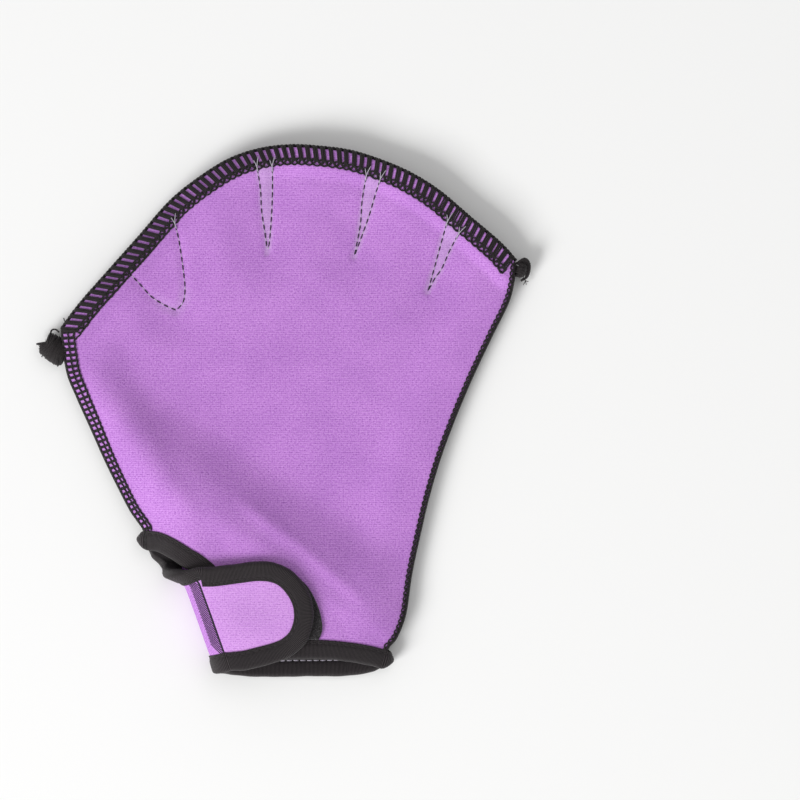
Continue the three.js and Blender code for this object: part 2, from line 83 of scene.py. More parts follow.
# The glove in the 800 pixel frame: its middle column, the row of its foot and its size
PIXEL_MIDDLE, PIXEL_FOOT = 284.5, 681.0
PIXELS_ACROSS, PIXELS_ALONG = 491.0, 535.5


def place(across, along):
    return np.array([across * FAN_WIDTH, (along - 0.5) * GLOVE_LENGTH])


def places(rows):
    return np.array([place(a, b) for a, b in rows])


def at_pixel(x, y):
    """A point of the plan from where it shows in the 800 pixel frame."""
    return place((x - PIXEL_MIDDLE) / PIXELS_ACROSS, (PIXEL_FOOT - y) / PIXELS_ALONG)


def ease(value, low, high):
    t = np.clip((value - low) / (high - low), 0, 1)
    return t * t * (3 - 2 * t)


def mix(a, b, t):
    return a + (b - a) * t


def unit(v):
    return v / np.maximum(np.linalg.norm(v, axis=-1, keepdims=True), 1e-12)


def bell(value, width):
    """1 in the middle, falling to 0 on both sides."""
    return np.exp(-((value / width) ** 2))


class Curve:
    """A smooth curve through points, read by the share of its length."""

    def __init__(self, points, per_span=24):
        p = np.asarray(points, float)
        padded = np.vstack([p[:1], p, p[-1:]])
        t = np.linspace(0, 1, per_span, endpoint=False)[:, None]
        runs = []
        for i in range(len(p) - 1):
            p0, p1, p2, p3 = padded[i : i + 4]
            v0, v1 = (p2 - p0) / 2, (p3 - p1) / 2
            runs.append(
                (2 * p1 - 2 * p2 + v0 + v1) * t**3
                + (-3 * p1 + 3 * p2 - 2 * v0 - v1) * t**2
                + v0 * t
                + p1
            )
        self.points = np.vstack([*runs, p[-1:]])
        steps = np.linalg.norm(np.diff(self.points, axis=0), axis=1)
        self.travel = np.concatenate([[0], np.cumsum(steps)])
        self.length = self.travel[-1]

    def at(self, share):
        s = np.clip(np.asarray(share, float), 0, 1) * self.length
        return np.stack([np.interp(s, self.travel, c) for c in self.points.T], -1)


finger_edge = Curve(places([
    (-0.4532, 0.6555), (-0.4134, 0.7031), (-0.3523, 0.7666), (-0.2912, 0.8301), (-0.2301, 0.8936),
    (-0.17, 0.9374), (-0.11, 0.9711), (-0.05, 0.9897), (0.0112, 0.9964), (0.0723, 0.9935),
    (0.1334, 0.986), (0.1935, 0.9692), (0.2546, 0.9449), (0.3147, 0.9104), (0.3747, 0.8637),
    (0.4369, 0.8151), (0.4695, 0.7825),
]))
thumb_side = Curve(places([
    (-0.2817, 0.2502), (-0.2825, 0.267), (-0.2866, 0.2848), (-0.2998, 0.3025), (-0.3177, 0.3277),
    (-0.3595, 0.4034), (-0.3961, 0.478), (-0.4226, 0.5322), (-0.443, 0.5808), (-0.4532, 0.6555),
]))
little_side = Curve(places([
    (0.1976, 0.028), (0.2088, 0.0616), (0.2251, 0.0803), (0.2434, 0.1232), (0.2556, 0.1979),
    (0.2729, 0.2726), (0.2923, 0.3473), (0.3167, 0.422), (0.3473, 0.4967), (0.3819, 0.5714),
    (0.4206, 0.6461), (0.4582, 0.719), (0.4695, 0.7825),
]))
front_wrist = Curve(places([
    (-0.0845, 0.056), (-0.058, 0.0476), (-0.0092, 0.0467), (0.0723, 0.0476), (0.1334, 0.042),
    (0.1701, 0.0355), (0.1976, 0.028),
]))
front_mouth = Curve(places([
    (-0.0845, 0.056), (-0.1029, 0.0803), (-0.1273, 0.1289), (-0.1538, 0.183), (-0.1823, 0.2082),
    (-0.2026, 0.2194), (-0.2332, 0.2362), (-0.2597, 0.2474), (-0.2817, 0.2502),
]))
STRAP_EDGE = places([
    (-0.08, 0.0289), (-0.0458, 0.0364), (-0.0092, 0.0458), (0.0173, 0.0579), (0.0407, 0.0803),
    (0.053, 0.1139), (0.0509, 0.1475), (0.0377, 0.1755), (0.0132, 0.2017), (-0.0173, 0.2157),
    (-0.054, 0.2189), (-0.0947, 0.2147), (-0.1415, 0.2091), (-0.1721, 0.2082),
])
FOLD_FOOT = place(-0.1436, 0.0243)
FOLD_HEAD = place(-0.2047, 0.1793)
FOLD_LENGTH = np.linalg.norm(FOLD_HEAD - FOLD_FOOT)
FOLD_UP = (FOLD_HEAD - FOLD_FOOT) / FOLD_LENGTH
FOLD_OUT = np.array([-FOLD_UP[1], FOLD_UP[0]])
FOLD_CUFF = [(-1.048, 1), (-1.035, 0.545), (-1.075, 0.27), (-1.13, 0.08)]
FOLD_VENT = [(0.136, 1), (0.165, 0.8), (0.198, 0.545), (0.255, 0.273), (0.34, 0.12), (0.44, 0.036)]
FLAT_CUFF = places([
    (-0.05, 0.0112), (0.0316, 0.0121), (0.1232, 0.0131), (0.1701, 0.0187), (0.1976, 0.028),
])
PINCH_LINES = [places(rows) for rows in [
    [(-0.29, 0.83), (-0.262, 0.74), (-0.223, 0.6928)],
    [(-0.236, 0.89), (-0.2067, 0.758), (-0.223, 0.6928)],
    [(-0.04, 0.985), (-0.035, 0.802)],
    [(0.18, 0.965), (0.1415, 0.7937)],
    [(0.345, 0.88), (0.2923, 0.7283)],
]]
SWELL_START, SWELL_END, SWELL_REACH = place(-0.3147, 0.45), place(0.2149, 0.1326), 15.0
THUMB_CORNER, LITTLE_CORNER = thumb_side.at(0), little_side.at(0)
SEAM_LOW, SEAM_HIGH = FOLD_CUFF[0][0] * FOLD_LENGTH, FOLD_VENT[0][0] * FOLD_LENGTH

# The stitched lines between the fingers, from the band down to each tip, in frame pixels
STITCH_PIXELS = [
    [(175, 225), (179, 245), (183, 275), (184, 290), (182, 302), (175, 310)],
    [(128, 272), (140, 285), (150, 296), (162, 304), (175, 310)],
    [(257, 168), (260, 190), (261, 210), (264, 230), (267, 252)],
    [(272, 168), (272, 190), (271, 215), (269, 240), (267, 252)],
    [(366, 177), (362, 200), (360, 225), (354, 256)],
    [(380, 180), (375, 195), (370, 212), (363, 232), (354, 256)],
    [(447, 223), (442, 240), (436, 262), (428, 291)],
    [(458, 235), (450, 250), (442, 268), (435, 278), (428, 291)],
]
stitch_curves = [Curve([at_pixel(*p) for p in row]) for row in STITCH_PIXELS]


def distance(points, line):
    """Distance from each point of the plan to a line of points."""
    flat = points.reshape(-1, 2)
    least = np.full(len(flat), 1e9)
    for a, b in zip(line[:-1], line[1:]):
        run = b - a
        off = flat - a
        share = np.clip(off @ run / max(run @ run, 1e-9), 0, 1)
        rest = off - share[:, None] * run
        least = np.minimum(least, rest[:, 0] ** 2 + rest[:, 1] ** 2)
    return np.sqrt(least).reshape(points.shape[:-1])


def near(d):
    """1 by an edge, falling to 0 where the cloth has settled."""
    return 1 - ease(d, EDGE_ZONE, EDGE_ZONE + SETTLE_REACH)


def roll_start(up):
    """How far out from the fold's line the back starts to roll up."""
    return VENT_FLARE * ease(up, -FLARE_BELOW, FLARE_REACH) - FOLD_RADIUS - CLOTH_HALF


def unrolled(up, turn):
    """The place on the flat back of a share of its roll."""
    up, turn = np.broadcast_arrays(np.asarray(up, float), np.asarray(turn, float))
    out = roll_start(up) + FOLD_RADIUS * FOLD_TURN * turn
    return FOLD_HEAD + up[..., None] * FOLD_UP + out[..., None] * FOLD_OUT


back_cuff = Curve(np.vstack([[unrolled(u * FOLD_LENGTH, t) for u, t in FOLD_CUFF], FLAT_CUFF]))
back_vent = Curve(np.vstack([[unrolled(u * FOLD_LENGTH, t) for u, t in FOLD_VENT], [THUMB_CORNER]]))


def line_of(curve, count):
    return curve.at(np.linspace(0, 1, count + 1))


thumb_line, little_line = line_of(thumb_side, 40), line_of(little_side, 60)
finger_line = line_of(finger_edge, 80)
cuff_line, vent_line = line_of(back_cuff, 40), line_of(back_vent, 24)


def back_height(spot):
    """Height of the back's middle layer, which tape and thread lift along its edges."""
    bound = np.minimum(distance(spot, cuff_line), distance(spot, vent_line))
    sewn = np.minimum(distance(spot, finger_line), distance(spot, thumb_line))
    sewn = np.minimum(sewn, distance(spot, little_line))
    taped, sewn = (BOUND_HEIGHT - CLOTH_HALF) * near(bound), (SEWN_HEIGHT - CLOTH_HALF) * near(sewn)
    return CLOTH_HALF + np.maximum(taped, sewn)


# The crease across the palm, the trough beside it and the pull of a stitched line
CREASE = np.array([at_pixel(240, 500), at_pixel(300, 545), at_pixel(350, 588), at_pixel(385, 622)])
CREASE_HEIGHT, CREASE_WIDTH = 0.55, 3.2
CREASE_STARTS, CREASE_ENDS = (-8, 14), (52, 72)
TROUGH_DEPTH, TROUGH_AWAY, TROUGH_WIDTH, TROUGH_REACH = 0.5, 5.5, 4.0, 9.0
TROUGH_WAY = np.array([0.62, 0.78])
PULL_DEPTH, PULL_WIDTH = 0.45, 1.5


def relief(spot):
    """Small ups and downs of the front cloth: the crease across the palm, the pull of each stitched
    line and the slow waves of cloth that has been folded."""
    off = spot - CREASE[0]
    d = distance(spot, CREASE)
    along = off @ unit(CREASE[-1] - CREASE[0])
    span = ease(along, *CREASE_STARTS) * (1 - ease(along, *CREASE_ENDS))
    trough = bell(off @ TROUGH_WAY + TROUGH_AWAY, TROUGH_WIDTH) * bell(d, TROUGH_REACH)
    z = span * (CREASE_HEIGHT * bell(d, CREASE_WIDTH) - TROUGH_DEPTH * trough)
    for curve in stitch_curves:
        z = z - PULL_DEPTH * bell(distance(spot, curve.points[::6]), PULL_WIDTH)
    x, y = spot[..., 0], spot[..., 1]
    return z + 0.16 * np.sin(x / 17 + 1.3) * np.sin(y / 21 + 0.4) + 0.1 * np.sin(x / 9 - y / 13)


def front_room(spot):
    """Room between the back and the front: least at the seams, most at the mouths and the wrist."""
    corner = np.minimum(
        np.linalg.norm(spot - THUMB_CORNER, axis=-1), np.linalg.norm(spot - LITTLE_CORNER, axis=-1)
    )
    band = 1 - ease(distance(spot, finger_line), OVERLOCK_DEPTH, 2 * OVERLOCK_DEPTH)
    mouth = 1 - ease(corner, EDGE_ZONE, EDGE_ZONE + MOUTH_REACH)
    closed = np.maximum(mix(SEAM_ROOM, BAND_ROOM, band), mix(SEAM_ROOM, CORNER_ROOM, mouth))
    slant = unit(SWELL_END - SWELL_START)
    off = spot - SWELL_START
    past = off[..., 0] * slant[1] - off[..., 1] * slant[0]
    swell = ease(past, SWELL_FROM * SWELL_REACH, SWELL_TO * SWELL_REACH)
    wrist = swell * ease(spot[..., 0], WRIST_REACH_FROM, WRIST_REACH_TO)
    reach = mix(SIDE_REACH, WRIST_REACH_SHARE * SIDE_REACH, wrist)
    side = np.minimum(distance(spot, thumb_line), distance(spot, little_line))
    rise = np.sin(math.pi / 2 * np.minimum(1, side / reach))
    opened = mix(mix(PALM_ROOM, WRIST_ROOM, swell), FINGER_ROOM, band)
    pinch = 1.0
    for line in PINCH_LINES:
        pinch = pinch * mix(PINCH_LEAST, 1, ease(distance(spot, line), 0, STITCH_REACH))
    puff = mix(FAN_PUFF, WRIST_PUFF, swell)
    ridge = RIDGE_HEIGHT * bell(past - RIDGE_PAST, np.where(past < RIDGE_PAST, RIDGE_STEEP, RIDGE_GENTLE))
    return closed + puff * np.maximum(0, opened - closed) * rise * pinch + ridge * rise


def front_height(spot):
    return back_height(spot) + CLOTH + front_room(spot)


def on_front(spot, height):
    z = front_height(spot) + relief(spot) + height
    return np.concatenate([spot, z[..., None]], -1)


def back_middle(spot):
    """The back's middle layer in space: flat, then rolled up and over beyond the fold."""
    off = spot - FOLD_HEAD
    up, out = off @ FOLD_UP, off @ FOLD_OUT
    start = roll_start(up)
    beyond = out - start
    angle = np.clip(beyond / FOLD_RADIUS, 0, FOLD_TURN)
    rest = np.maximum(beyond, 0) - FOLD_RADIUS * angle
    across = np.where(beyond > 0, start + FOLD_RADIUS * np.sin(angle) + rest * np.cos(angle), out)
    raised = FOLD_RADIUS * (1 - np.cos(angle)) + rest * np.sin(angle)
    foot = FOLD_HEAD + up[..., None] * FOLD_UP + np.minimum(out, start)[..., None] * FOLD_OUT
    plan = FOLD_HEAD + up[..., None] * FOLD_UP + across[..., None] * FOLD_OUT
    z = back_height(foot) + np.where(beyond > 0, raised, 0)
    return np.concatenate([plan, z[..., None]], -1)


def back_directions(spot):
    """Ways out and up along the rolled back, and the way off its surface."""
    step = 0.05
    out = (back_middle(spot + step * FOLD_OUT) - back_middle(spot - step * FOLD_OUT)) / (2 * step)
    up = (back_middle(spot + step * FOLD_UP) - back_middle(spot - step * FOLD_UP)) / (2 * step)
    return out, up, unit(np.cross(out, up))


def on_back(spot, height):
    height = np.broadcast_to(height, spot.shape[:-1])
    return back_middle(spot) + back_directions(spot)[2] * height[..., None]


def walk_on_back(spot, heading, reach, strides=5):
    """Spots of the flat back reached by going from each spot along the rolled surface."""
    here = spot.astype(float).copy()
    for _ in range(strides):
        out, up, outward = back_directions(here)
        level = heading - outward * np.sum(heading * outward, -1, keepdims=True)
        level = unit(level) * (reach / strides)[..., None]
        a, b, c = np.sum(out * out, -1), np.sum(out * up, -1), np.sum(up * up, -1)
        d, e = np.sum(level * out, -1), np.sum(level * up, -1)
        whole = a * c - b * b
        here = here + ((c * d - b * e) / whole)[..., None] * FOLD_OUT
        here = here + ((a * e - b * d) / whole)[..., None] * FOLD_UP
    return here


def on_strap(spot, height):
    """A point of the strap, which lies level from its seam over the front."""
    off = spot - FOLD_HEAD
    up = np.clip(off @ FOLD_UP, SEAM_LOW, SEAM_HIGH)
    seam = back_middle(unrolled(up, 1.0))
    past = np.maximum(0, -(off @ FOLD_OUT) + (seam[..., :2] - FOLD_HEAD) @ FOLD_OUT)
    lift = STRAP_LIFT * (1 - np.exp(-past / STRAP_LIFT_REACH))
    return np.concatenate([spot, (seam[..., 2] + lift + height)[..., None]], -1)


# Mesh making

def mesh_object(name, points, quads, material, uv=None, values=None):
    """A mesh of four-sided faces from points in plan millimetres."""
    points = (np.asarray(points, float).reshape(-1, 3) + PLAN_SHIFT) * MM
    quads = np.asarray(quads, np.int64)
    mesh = bpy.data.meshes.new(name)
    mesh.vertices.add(len(points))
    mesh.vertices.foreach_set("co", points.astype(np.float32).ravel())
    mesh.loops.add(quads.size)
    mesh.loops.foreach_set("vertex_index", quads.astype(np.int32).ravel())
    mesh.polygons.add(len(quads))
    mesh.polygons.foreach_set("loop_start", np.arange(0, quads.size, 4, dtype=np.int32))
    mesh.polygons.foreach_set("use_smooth", np.ones(len(quads), bool))
    mesh.update(calc_edges=True)
    if uv is not None:
        corners = np.asarray(uv, np.float32).reshape(-1, 2)[quads.ravel()]
        mesh.uv_layers.new(name="UVMap").data.foreach_set("uv", corners.ravel())
    for key, value in (values or {}).items():
        held = mesh.attributes.new(key, "FLOAT", "POINT").data
        held.foreach_set("value", np.asarray(value, np.float32).ravel())
    mesh.validate()
    obj = bpy.data.objects.new(name, mesh)
    bpy.context.scene.collection.objects.link(obj)
    mesh.materials.append(material)
    return obj


def piece(obj, slot, *nodes):
    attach(obj, "root")
    if nodes:
        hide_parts(*nodes)
    return obj


def grid_quads(rows, columns, offset=0, closed=False):
    """Faces between neighbouring rows and columns; closed joins the last column to the first."""
    index = np.arange(rows * columns).reshape(rows, columns)
    ahead = np.roll(index, -1, 1) if closed else index[:, 1:]
    here = index if closed else index[:, :-1]
    return offset + np.stack([here[:-1], ahead[:-1], ahead[1:], here[1:]], -1).reshape(-1, 4)


def sheet_mesh(name, top, bottom, uv, material, values=None):
    """A sheet with thickness from two matching grids of points."""
    rows, columns = top.shape[:2]
    size = rows * columns
    index = np.arange(size).reshape(rows, columns)
    faces = grid_quads(rows, columns)
    rim = np.concatenate([index[0, :-1], index[:-1, -1], index[-1, :0:-1], index[:0:-1, 0]])
    follow = np.roll(rim, -1)
    walls = np.stack([rim, rim + size, follow + size, follow], -1)
    quads = np.vstack([faces, faces[:, ::-1] + size, walls])
    points = np.vstack([top.reshape(-1, 3), bottom.reshape(-1, 3)])
    both = {k: np.concatenate([np.ravel(v)] * 2) for k, v in (values or {}).items()}
    uv = np.asarray(uv).reshape(-1, 2)
    return mesh_object(name, points, quads, material, np.vstack([uv, uv]), both)


class Threads:
    """Many round threads gathered into one mesh."""

    def __init__(self):
        self.points, self.quads, self.uv, self.count = [], [], [], 0

    def add(self, paths, radius, sides=6, closed=False):
        """Tubes along paths of shape (threads, points, 3)."""
        p = np.asarray(paths, float)
        if p.ndim == 2:
            p = p[None]
        n, k = p.shape[:2]
        if closed:
            ahead, behind = np.roll(p, -1, 1), np.roll(p, 1, 1)
        else:
            ahead = np.concatenate([p[:, 1:], p[:, -1:]], 1)
            behind = np.concatenate([p[:, :1], p[:, :-1]], 1)
        run = unit(ahead - behind)
        guide = np.where(np.abs(run[:, :1, 2:]) > 0.9, [[[1.0, 0, 0]]], [[[0, 0, 1.0]]])
        side = np.zeros_like(p)
        last = unit(np.cross(run[:, 0], guide[:, 0]))
        side[:, 0] = last
        for i in range(1, k):
            last = unit(last - run[:, i] * np.sum(last * run[:, i], -1, keepdims=True))
            side[:, i] = last
        other = np.cross(run, side)
        r = np.broadcast_to(np.asarray(radius, float), (n, k))[..., None, None]
        turn = np.arange(sides) * 2 * math.pi / sides
        ring = np.cos(turn)[:, None] * side[:, :, None] + np.sin(turn)[:, None] * other[:, :, None]
        points = p[:, :, None] + r * ring
        steps = np.linalg.norm(np.diff(p, axis=1), axis=-1)
        travel = np.concatenate([np.zeros((n, 1)), np.cumsum(steps, 1)], 1)
        around = turn / PLAN_SPAN * THREAD_TURN_SHARE
        uv = np.stack(np.broadcast_arrays(travel[..., None] / PLAN_SPAN, around), -1)
        base = grid_quads(k, sides, 0, True)
        if closed:
            end, start = (k - 1) * sides + np.arange(sides), np.arange(sides)
            join = np.stack([end, np.roll(end, -1), np.roll(start, -1), start], -1)
            base = np.vstack([base, join])
        else:
            lid = np.array([[0, 1, 2, 3], [0, 3, 4, 5]]) if sides == 6 else np.array([[0, 1, 2, 3]])
            base = np.vstack([base, lid[:, ::-1], lid + (k - 1) * sides])
        offsets = self.count + np.arange(n)[:, None, None] * k * sides
        self.quads.append((base[None] + offsets).reshape(-1, 4))
        self.points.append(points.reshape(-1, 3))
        self.uv.append(uv.reshape(-1, 2))
        self.count += n * k * sides

    def make(self, name, material):
        points, quads, uv = np.vstack(self.points), np.vstack(self.quads), np.vstack(self.uv)
        return mesh_object(name, points, quads, material, uv)


# Materials

def srgb(*levels):
    scaled = [v / 255 for v in levels]
    return tuple(v / 12.92 if v <= 0.04045 else ((v + 0.055) / 1.055) ** 2.4 for v in scaled)


class Shader:
    """A small helper that builds a node material."""

    def __init__(self, name, roughness, sheen=0.0, specular=0.5):
        self.material = bpy.data.materials.new(name)
        self.material.use_nodes = True
        self.tree = self.material.node_tree
        self.main = self.tree.nodes["Principled BSDF"]
        self.main.inputs["Roughness"].default_value = roughness
        self.main.inputs["Specular IOR Level"].default_value = specular
        self.main.inputs["Sheen Weight"].default_value = sheen
        self.main.inputs["Sheen Roughness"].default_value = 0.5

    def node(self, kind, inputs=None, **settings):
        made = self.tree.nodes.new(kind)
        for key, value in settings.items():
            setattr(made, key, value)
        for key, value in (inputs or {}).items():
            if isinstance(value, bpy.types.NodeSocket):
                self.tree.links.new(value, made.inputs[key])
            else:
                made.inputs[key].default_value = value
        return made

    def scaled_uv(self, scale):
        coords = self.node("ShaderNodeTexCoord").outputs["UV"]
        return self.node("ShaderNodeMapping", {"Vector": coords, "Scale": scale}).outputs["Vector"]

    def noise(self, vector, scale, detail=2.0, roughness=0.5, distortion=0.0):
        return self.node("ShaderNodeTexNoise", {
            "Vector": vector, "Scale": scale, "Detail": detail, "Roughness": roughness,
            "Distortion": distortion,
        }, noise_dimensions="3D").outputs["Fac"]

    def wave(self, vector, scale, distortion=0.0, direction="X", detail_scale=1.0):
        return self.node("ShaderNodeTexWave", {
            "Vector": vector, "Scale": scale, "Distortion": distortion, "Detail Scale": detail_scale,
        }, bands_direction=direction).outputs["Fac"]

    def math(self, operation, a, b):
        return self.node("ShaderNodeMath", {0: a, 1: b}, operation=operation).outputs[0]

    def total(self, *parts):
        """The sum of outputs, each times its share."""
        scaled = [self.math("MULTIPLY", output, share) for output, share in parts]
        while len(scaled) > 1:
            scaled[:2] = [self.math("ADD", scaled[0], scaled[1])]
        return scaled[0]

    def ramp(self, factor, stops):
        made = self.node("ShaderNodeValToRGB", {"Fac": factor})
        elements = made.color_ramp.elements
        elements[0].position, elements[-1].position = stops[0][0], stops[-1][0]
        elements[0].color, elements[-1].color = (*stops[0][1], 1), (*stops[-1][1], 1)
        for position, color in stops[1:-1]:
            elements.new(position).color = (*color, 1)
        return made.outputs["Color"]

    def blend(self, factor, a, b, kind="MIX"):
        made = self.node("ShaderNodeMix", data_type="RGBA", blend_type=kind)
        for socket, value in ((made.inputs[0], factor), (made.inputs[6], a), (made.inputs[7], b)):
            if isinstance(value, bpy.types.NodeSocket):
                self.tree.links.new(value, socket)
            else:
                socket.default_value = value
        return made.outputs[2]

    def color(self, socket):
        self.tree.links.new(socket, self.main.inputs["Base Color"])

    def bump(self, height, depth, strength=1.0):
        made = self.node("ShaderNodeBump", {"Height": height, "Distance": depth, "Strength": strength})
        self.tree.links.new(made.outputs["Normal"], self.main.inputs["Normal"])


def plan_uv(spots):
    return spots / PLAN_SPAN + 0.5


LINT_COLOR = srgb(198, 180, 208)


def neoprene(name, dark, mid, light):
    """Knit-faced foam: fine rows of knit, darker flecks between the loops and slow unevenness."""
    s = Shader(name, 0.88, sheen=0.12, specular=0.18)
    uv = s.scaled_uv((PLAN_SPAN, PLAN_SPAN, PLAN_SPAN))
    rows = s.wave(uv, 0.36, distortion=1.2, direction="Y", detail_scale=2.2)
    columns = s.wave(uv, 0.42, distortion=1.6, direction="X", detail_scale=2.0)
    flecks = s.noise(uv, 1.3, detail=3.0, roughness=0.7)
    grain = s.noise(uv, 2.9, detail=2.0, roughness=0.6)
    slow = s.noise(uv, 0.05, detail=2.0, roughness=0.5)
    knit = s.total((rows, 0.72), (columns, 0.28))
    blend = s.total((flecks, 0.55), (grain, 0.34), (knit, 0.11))
    base = s.ramp(blend, [(0.36, dark), (0.47, mid), (0.62, light)])
    tint = s.ramp(slow, [(0.35, (0.94, 0.93, 0.95)), (0.65, (1.04, 1.05, 1.03))])
    tinted = s.blend(1.0, base, tint, "MULTIPLY")
    grey = s.node("ShaderNodeAttribute", attribute_name="grey").outputs["Fac"]
    lint = s.math("MULTIPLY", grey, s.math("ADD", s.math("MULTIPLY", flecks, 0.9), 0.1))
    s.color(s.blend(lint, tinted, (*LINT_COLOR, 1)))
    s.bump(blend, depth=0.00045, strength=0.85)
    return s.material


def tape_material():
    """Ribbed binding tape: ribs run across its length."""
    s = Shader("binding_tape", 0.66, sheen=0.12, specular=0.3)
    span = PLAN_SPAN * TAPE_UV_SHARE
    uv = s.scaled_uv((span, span, span))
    ribs = s.wave(uv, 0.6, distortion=0.8, direction="X", detail_scale=1.5)
    weave = s.noise(uv, 2.4, detail=3.0, roughness=0.6)
    height = s.total((ribs, 0.7), (weave, 0.45))
    s.color(s.ramp(height, [(0.3, srgb(10, 7, 8)), (0.6, srgb(29, 23, 26)), (0.95, srgb(66, 57, 61))]))
    s.bump(height, depth=0.0004, strength=0.9)
    return s.material


def thread_material(name, dark, light, shine=0.35):
    """Twisted thread: a slanting twist and a little fuzz."""
    s = Shader(name, 0.58, sheen=0.08, specular=shine)
    uv = s.scaled_uv((PLAN_SPAN, PLAN_SPAN * 2.5, PLAN_SPAN))
    turn = {"Vector": uv, "Rotation": (0, 0, math.radians(38))}
    twist = s.wave(s.node("ShaderNodeMapping", turn).outputs["Vector"], 0.8, distortion=0.4)
    fuzz = s.noise(uv, 2.0, detail=2.0, roughness=0.6)
    height = s.total((twist, 0.6), (fuzz, 0.4))
    s.color(s.ramp(height, [(0.25, dark), (0.8, light)]))
    s.bump(height, depth=0.00015, strength=0.8)
    return s.material


def pile_material(name, dark, light):
    """The loop or hook side of the fastening."""
    s = Shader(name, 0.85, sheen=0.4, specular=0.2)
    uv = s.scaled_uv((PLAN_SPAN, PLAN_SPAN, PLAN_SPAN))
    loops = s.noise(uv, 1.6, detail=4.0, roughness=0.75, distortion=1.0)
    s.color(s.ramp(loops, [(0.35, dark), (0.7, light)]))
    s.bump(loops, depth=0.0006)
    return s.material


purple = neoprene("neoprene", srgb(150, 92, 176), srgb(186, 124, 208), srgb(208, 152, 226))
# The strap's neoprene is the same cloth as the panels. It is painted lighter all over, as painted light
# standing in for the stronger light on the raised strap.
strap_purple_painted_lighter = neoprene("strap_neoprene", srgb(176, 116, 198), srgb(208, 148, 227), srgb(226, 174, 240))
tape = tape_material()
black_thread = thread_material("seam_thread", srgb(14, 11, 12), srgb(50, 43, 45), 0.25)
line_thread = thread_material("divider_thread", srgb(20, 16, 24), srgb(70, 58, 80))
grey_thread = thread_material("light_thread", srgb(176, 166, 186), srgb(232, 228, 236), 0.3)
dull_thread = thread_material("bobbin_thread", srgb(22, 19, 20), srgb(70, 63, 66), 0.3)
fuzz_thread = thread_material("loop_fuzz", srgb(24, 22, 23), srgb(120, 114, 118), 0.4)
loop_pile = pile_material("loop_pile", srgb(10, 9, 10), srgb(74, 70, 74))
hook_pile = pile_material("hook_tape", srgb(12, 11, 12), srgb(46, 42, 45))

# Front and back cloth

# Shares of the left side's rows up to the vent's head and the strap's seam, and of the columns
# for the roll
VENT_SHARE, CUFF_SHARE, ROLL_SHARE = 0.4, 0.22, 0.25


def side_at(t):
    return thumb_side.at((t - VENT_SHARE) / (1 - VENT_SHARE))


def front_left(t):
    return np.where((t < VENT_SHARE)[:, None], front_mouth.at(t / VENT_SHARE), side_at(t))


def back_left(t):
    seam = unrolled(mix(SEAM_LOW, SEAM_HIGH, t / CUFF_SHARE), 1.0)
    vent = back_vent.at((t - CUFF_SHARE) / (VENT_SHARE - CUFF_SHARE))
    upper = np.where((t < VENT_SHARE)[:, None], vent, side_at(t))
    return np.where((t < CUFF_SHARE)[:, None], seam, upper)


def patch(left, right, lower, upper, columns, rows):
    """Points of the plan between four sides."""
    s, t = columns[None, :, None], rows[:, None, None]
    a, b, c, d = left(rows)[:, None], right(rows)[:, None], lower(columns)[None], upper(columns)[None]
    corners = (1 - s) * (1 - t) * a[0] + s * (1 - t) * b[0] + (1 - s) * t * a[-1] + s * t * b[-1]
    return a * (1 - s) + b * s + c * (1 - t) + d * t - corners


LINT_NARROW, LINT_WIDE = 0.55, 0.3


def divider_lint(spot):
    """How much pale lint shows: inside the narrow pairs of stitched lines and at the wide pair's tip."""
    value = np.zeros(spot.shape[:-1])
    for first in (2, 4, 6):
        a, b = stitch_curves[first].points, stitch_curves[first + 1].points
        da, db = distance(spot, a[::6]), distance(spot, b[::6])
        gap = np.linalg.norm(a[0] - b[0])
        down = np.linalg.norm(spot - a[0], axis=-1) / np.linalg.norm(a[-1] - a[0])
        reach = gap * (1 - 0.8 * np.clip(down, 0, 1))
        value = np.maximum(value, LINT_NARROW * (1 - ease(da + db, reach + 0.6, reach + 2.2)))
    a, b = stitch_curves[0].points, stitch_curves[1].points
    tip = np.linalg.norm(spot - at_pixel(175, 306), axis=-1)
    near_line = np.minimum(distance(spot, a[::6]), distance(spot, b[::6]))
    inside = 1 - ease(near_line, 1.0, 4.0)
    return np.maximum(value, LINT_WIDE * inside * (1 - ease(tip, 4, 14)))


def front_cloth():
    rows = np.linspace(0, 1, 226)
    columns = np.linspace(0, 1, 186)
    spots = patch(front_left, little_side.at, front_wrist.at, finger_edge.at, columns, rows)
    middle = on_front(spots, 0.0)
    lift = np.array([0, 0, CLOTH_HALF])
    obj = sheet_mesh(
        "front_cloth", middle + lift, middle - lift, plan_uv(spots), purple, {"grey": divider_lint(spots)}
    )
    return piece(obj, "neoprene", "front_panel")


def back_cloth():
    def parted(share, before, after):
        return np.concatenate([np.linspace(0, share, before, endpoint=False), np.linspace(share, 1, after)])

    rows, columns = parted(VENT_SHARE, 110, 100), parted(ROLL_SHARE, 60, 120)
    spots = patch(back_left, little_side.at, back_cuff.at, finger_edge.at, columns, rows)
    middle = back_middle(spots)
    outward = unit(np.cross(np.gradient(middle, axis=1), np.gradient(middle, axis=0)))
    grey = np.zeros(spots.shape[:2])
    top, bottom = middle + CLOTH_HALF * outward, middle - CLOTH_HALF * outward
    obj = sheet_mesh("back_cloth", top, bottom, plan_uv(spots), purple, {"grey": grey})
    return piece(obj, "neoprene", "back_panel")


def seam_in_plan(up):
    return back_middle(unrolled(up, 1.0))[..., :2]


STRAP_SEAM_GAP = 0.15


